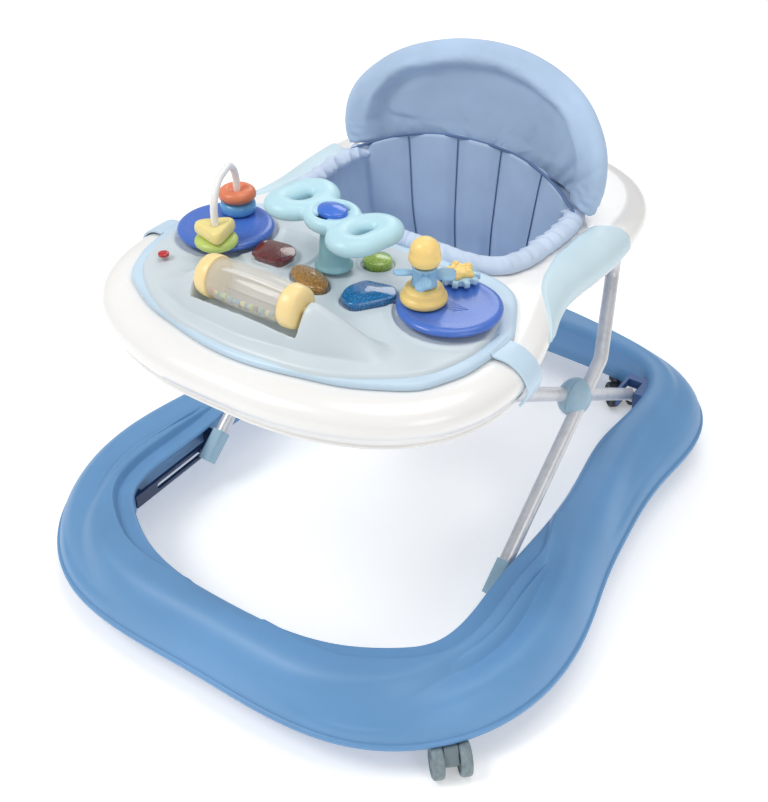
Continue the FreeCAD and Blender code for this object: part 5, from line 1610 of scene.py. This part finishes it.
def build_casters():
    # The rear twin wheels take the near-black painted shade; the front ones take the grey caster rubber.
    for row, wheels, finish in (("front", FRONT_CASTER, "wheel"), ("rear", REAR_CASTER, "rear_caster_shade")):
        for side, hand in ((1, "right"), (-1, "left")):
            centre, axle = caster_frame(wheels, side)
            pair = []
            for k in (-1, 1):
                middle = centre + axle * k * 0.5 * WHEEL_SPACING
                pair.append(wheel_mesh(middle, axle, M[finish]))
            name = "wheels_" + row + "_" + hand
            twin = join(name + "_twin", pair)
            settle(twin, body_of(name), name)


def wheel_mesh(middle, axle, material):
    turn = full_turn(60)
    levels = []
    for radius, h in WHEEL_PROFILE:
        spoke = 0.35 * np.cos(5 * turn) if 7 < radius < 11 else 0.0
        flat = middle + axle * h
        forward = np.array([-axle[1], axle[0]])
        x = flat[0] + forward[0] * radius * np.cos(turn) + axle[0] * spoke * np.sign(h)
        y = flat[1] + forward[1] * radius * np.cos(turn) + axle[1] * spoke * np.sign(h)
        z = 16.0 + radius * np.sin(turn)
        levels.append(np.column_stack([x, y, z]))
    return capped_piece("wheel", levels, material)


# ---------------------------------------------------------------- stage, light and camera
CAMERA_AT = (555.8, -866.2, 895.6)
CAMERA_YAW = 34.02
CAMERA_DROP = 36.95
CAMERA_ROLL = 0.22
CAMERA_LENS = 53.19
FLOOR = 9000.0
FLOOR_GLOW = 0.30
WORLD_LIGHT = 0.46
# Name, place, target, width and power of each light, in metres and watts.
LIGHTS = [("key_light", (-1.2, -1.6, 2.6), (0, 0, 0.25), 1.3, 34),
          ("fill_light", (2.4, -1.2, 1.5), (0, 0, 0.3), 1.4, 12),
          ("top_light", (0.2, 0.4, 3.0), (0, 0, 0.2), 2.0, 22),
          ("back_light", (-1.0, 2.2, 1.8), (0, 0, 0.35), 1.2, 9)]


def build_camera():
    yaw = math.radians(CAMERA_YAW)
    drop = math.radians(CAMERA_DROP)
    back = Vector((math.sin(yaw) * math.cos(drop), -math.cos(yaw) * math.cos(drop), math.sin(drop)))
    right = Vector((math.cos(yaw), math.sin(yaw), 0))
    up = back.cross(right)
    c = math.cos(math.radians(CAMERA_ROLL))
    s = math.sin(math.radians(CAMERA_ROLL))
    right, up = c * right + s * up, c * up - s * right
    data = bpy.data.cameras.new("camera")
    data.lens = CAMERA_LENS
    data.sensor_width = 36.0
    data.clip_start = 0.01
    data.clip_end = 60.0
    camera = bpy.data.objects.new("camera", data)
    bpy.context.scene.collection.objects.link(camera)
    camera.matrix_world = Matrix(((right.x, up.x, back.x, CAMERA_AT[0] * MM),
                                  (right.y, up.y, back.y, CAMERA_AT[1] * MM),
                                  (right.z, up.z, back.z, CAMERA_AT[2] * MM), (0, 0, 0, 1)))
    bpy.context.scene.camera = camera


def area_light(name, place, target, size, power):
    data = bpy.data.lights.new(name, "AREA")
    data.shape = "DISK"
    data.size = size
    data.energy = power
    lamp = bpy.data.objects.new(name, data)
    bpy.context.scene.collection.objects.link(lamp)
    lamp.location = place
    aim = Vector(target) - Vector(place)
    lamp.rotation_euler = aim.to_track_quat("-Z", "Y").to_euler()


def build_stage():
    corners = [(-FLOOR, -FLOOR, 0), (FLOOR, -FLOOR, 0), (FLOOR, FLOOR, 0), (-FLOOR, FLOOR, 0)]
    white = plastic("floor_white", (250, 250, 250), 0.7, 0.02, 0.004)
    floor = make_object("floor", corners, [(0, 1, 2, 3)], white, smooth=False)
    glow = floor.data.materials[0].node_tree.nodes["Principled BSDF"]
    glow.inputs["Emission Color"].default_value = (1, 1, 1, 1)
    glow.inputs["Emission Strength"].default_value = FLOOR_GLOW
    world = bpy.data.worlds.new("studio")
    world.use_nodes = True
    world.node_tree.nodes["Background"].inputs["Color"].default_value = (1, 1, 1, 1)
    world.node_tree.nodes["Background"].inputs["Strength"].default_value = WORLD_LIGHT
    bpy.context.scene.world = world
    for light in LIGHTS:
        area_light(*light)
    bpy.context.scene.view_settings.view_transform = "Standard"


STEPS = (build_camera, build_stage, build_base, build_label, build_pads, build_tray, build_grips, build_plate,
         build_deck, build_discs, build_keys, build_wheel, build_drum, build_arch, build_figure, build_flower,
         build_bag, build_rim, build_hood, build_casters)
for step in STEPS:
    step()
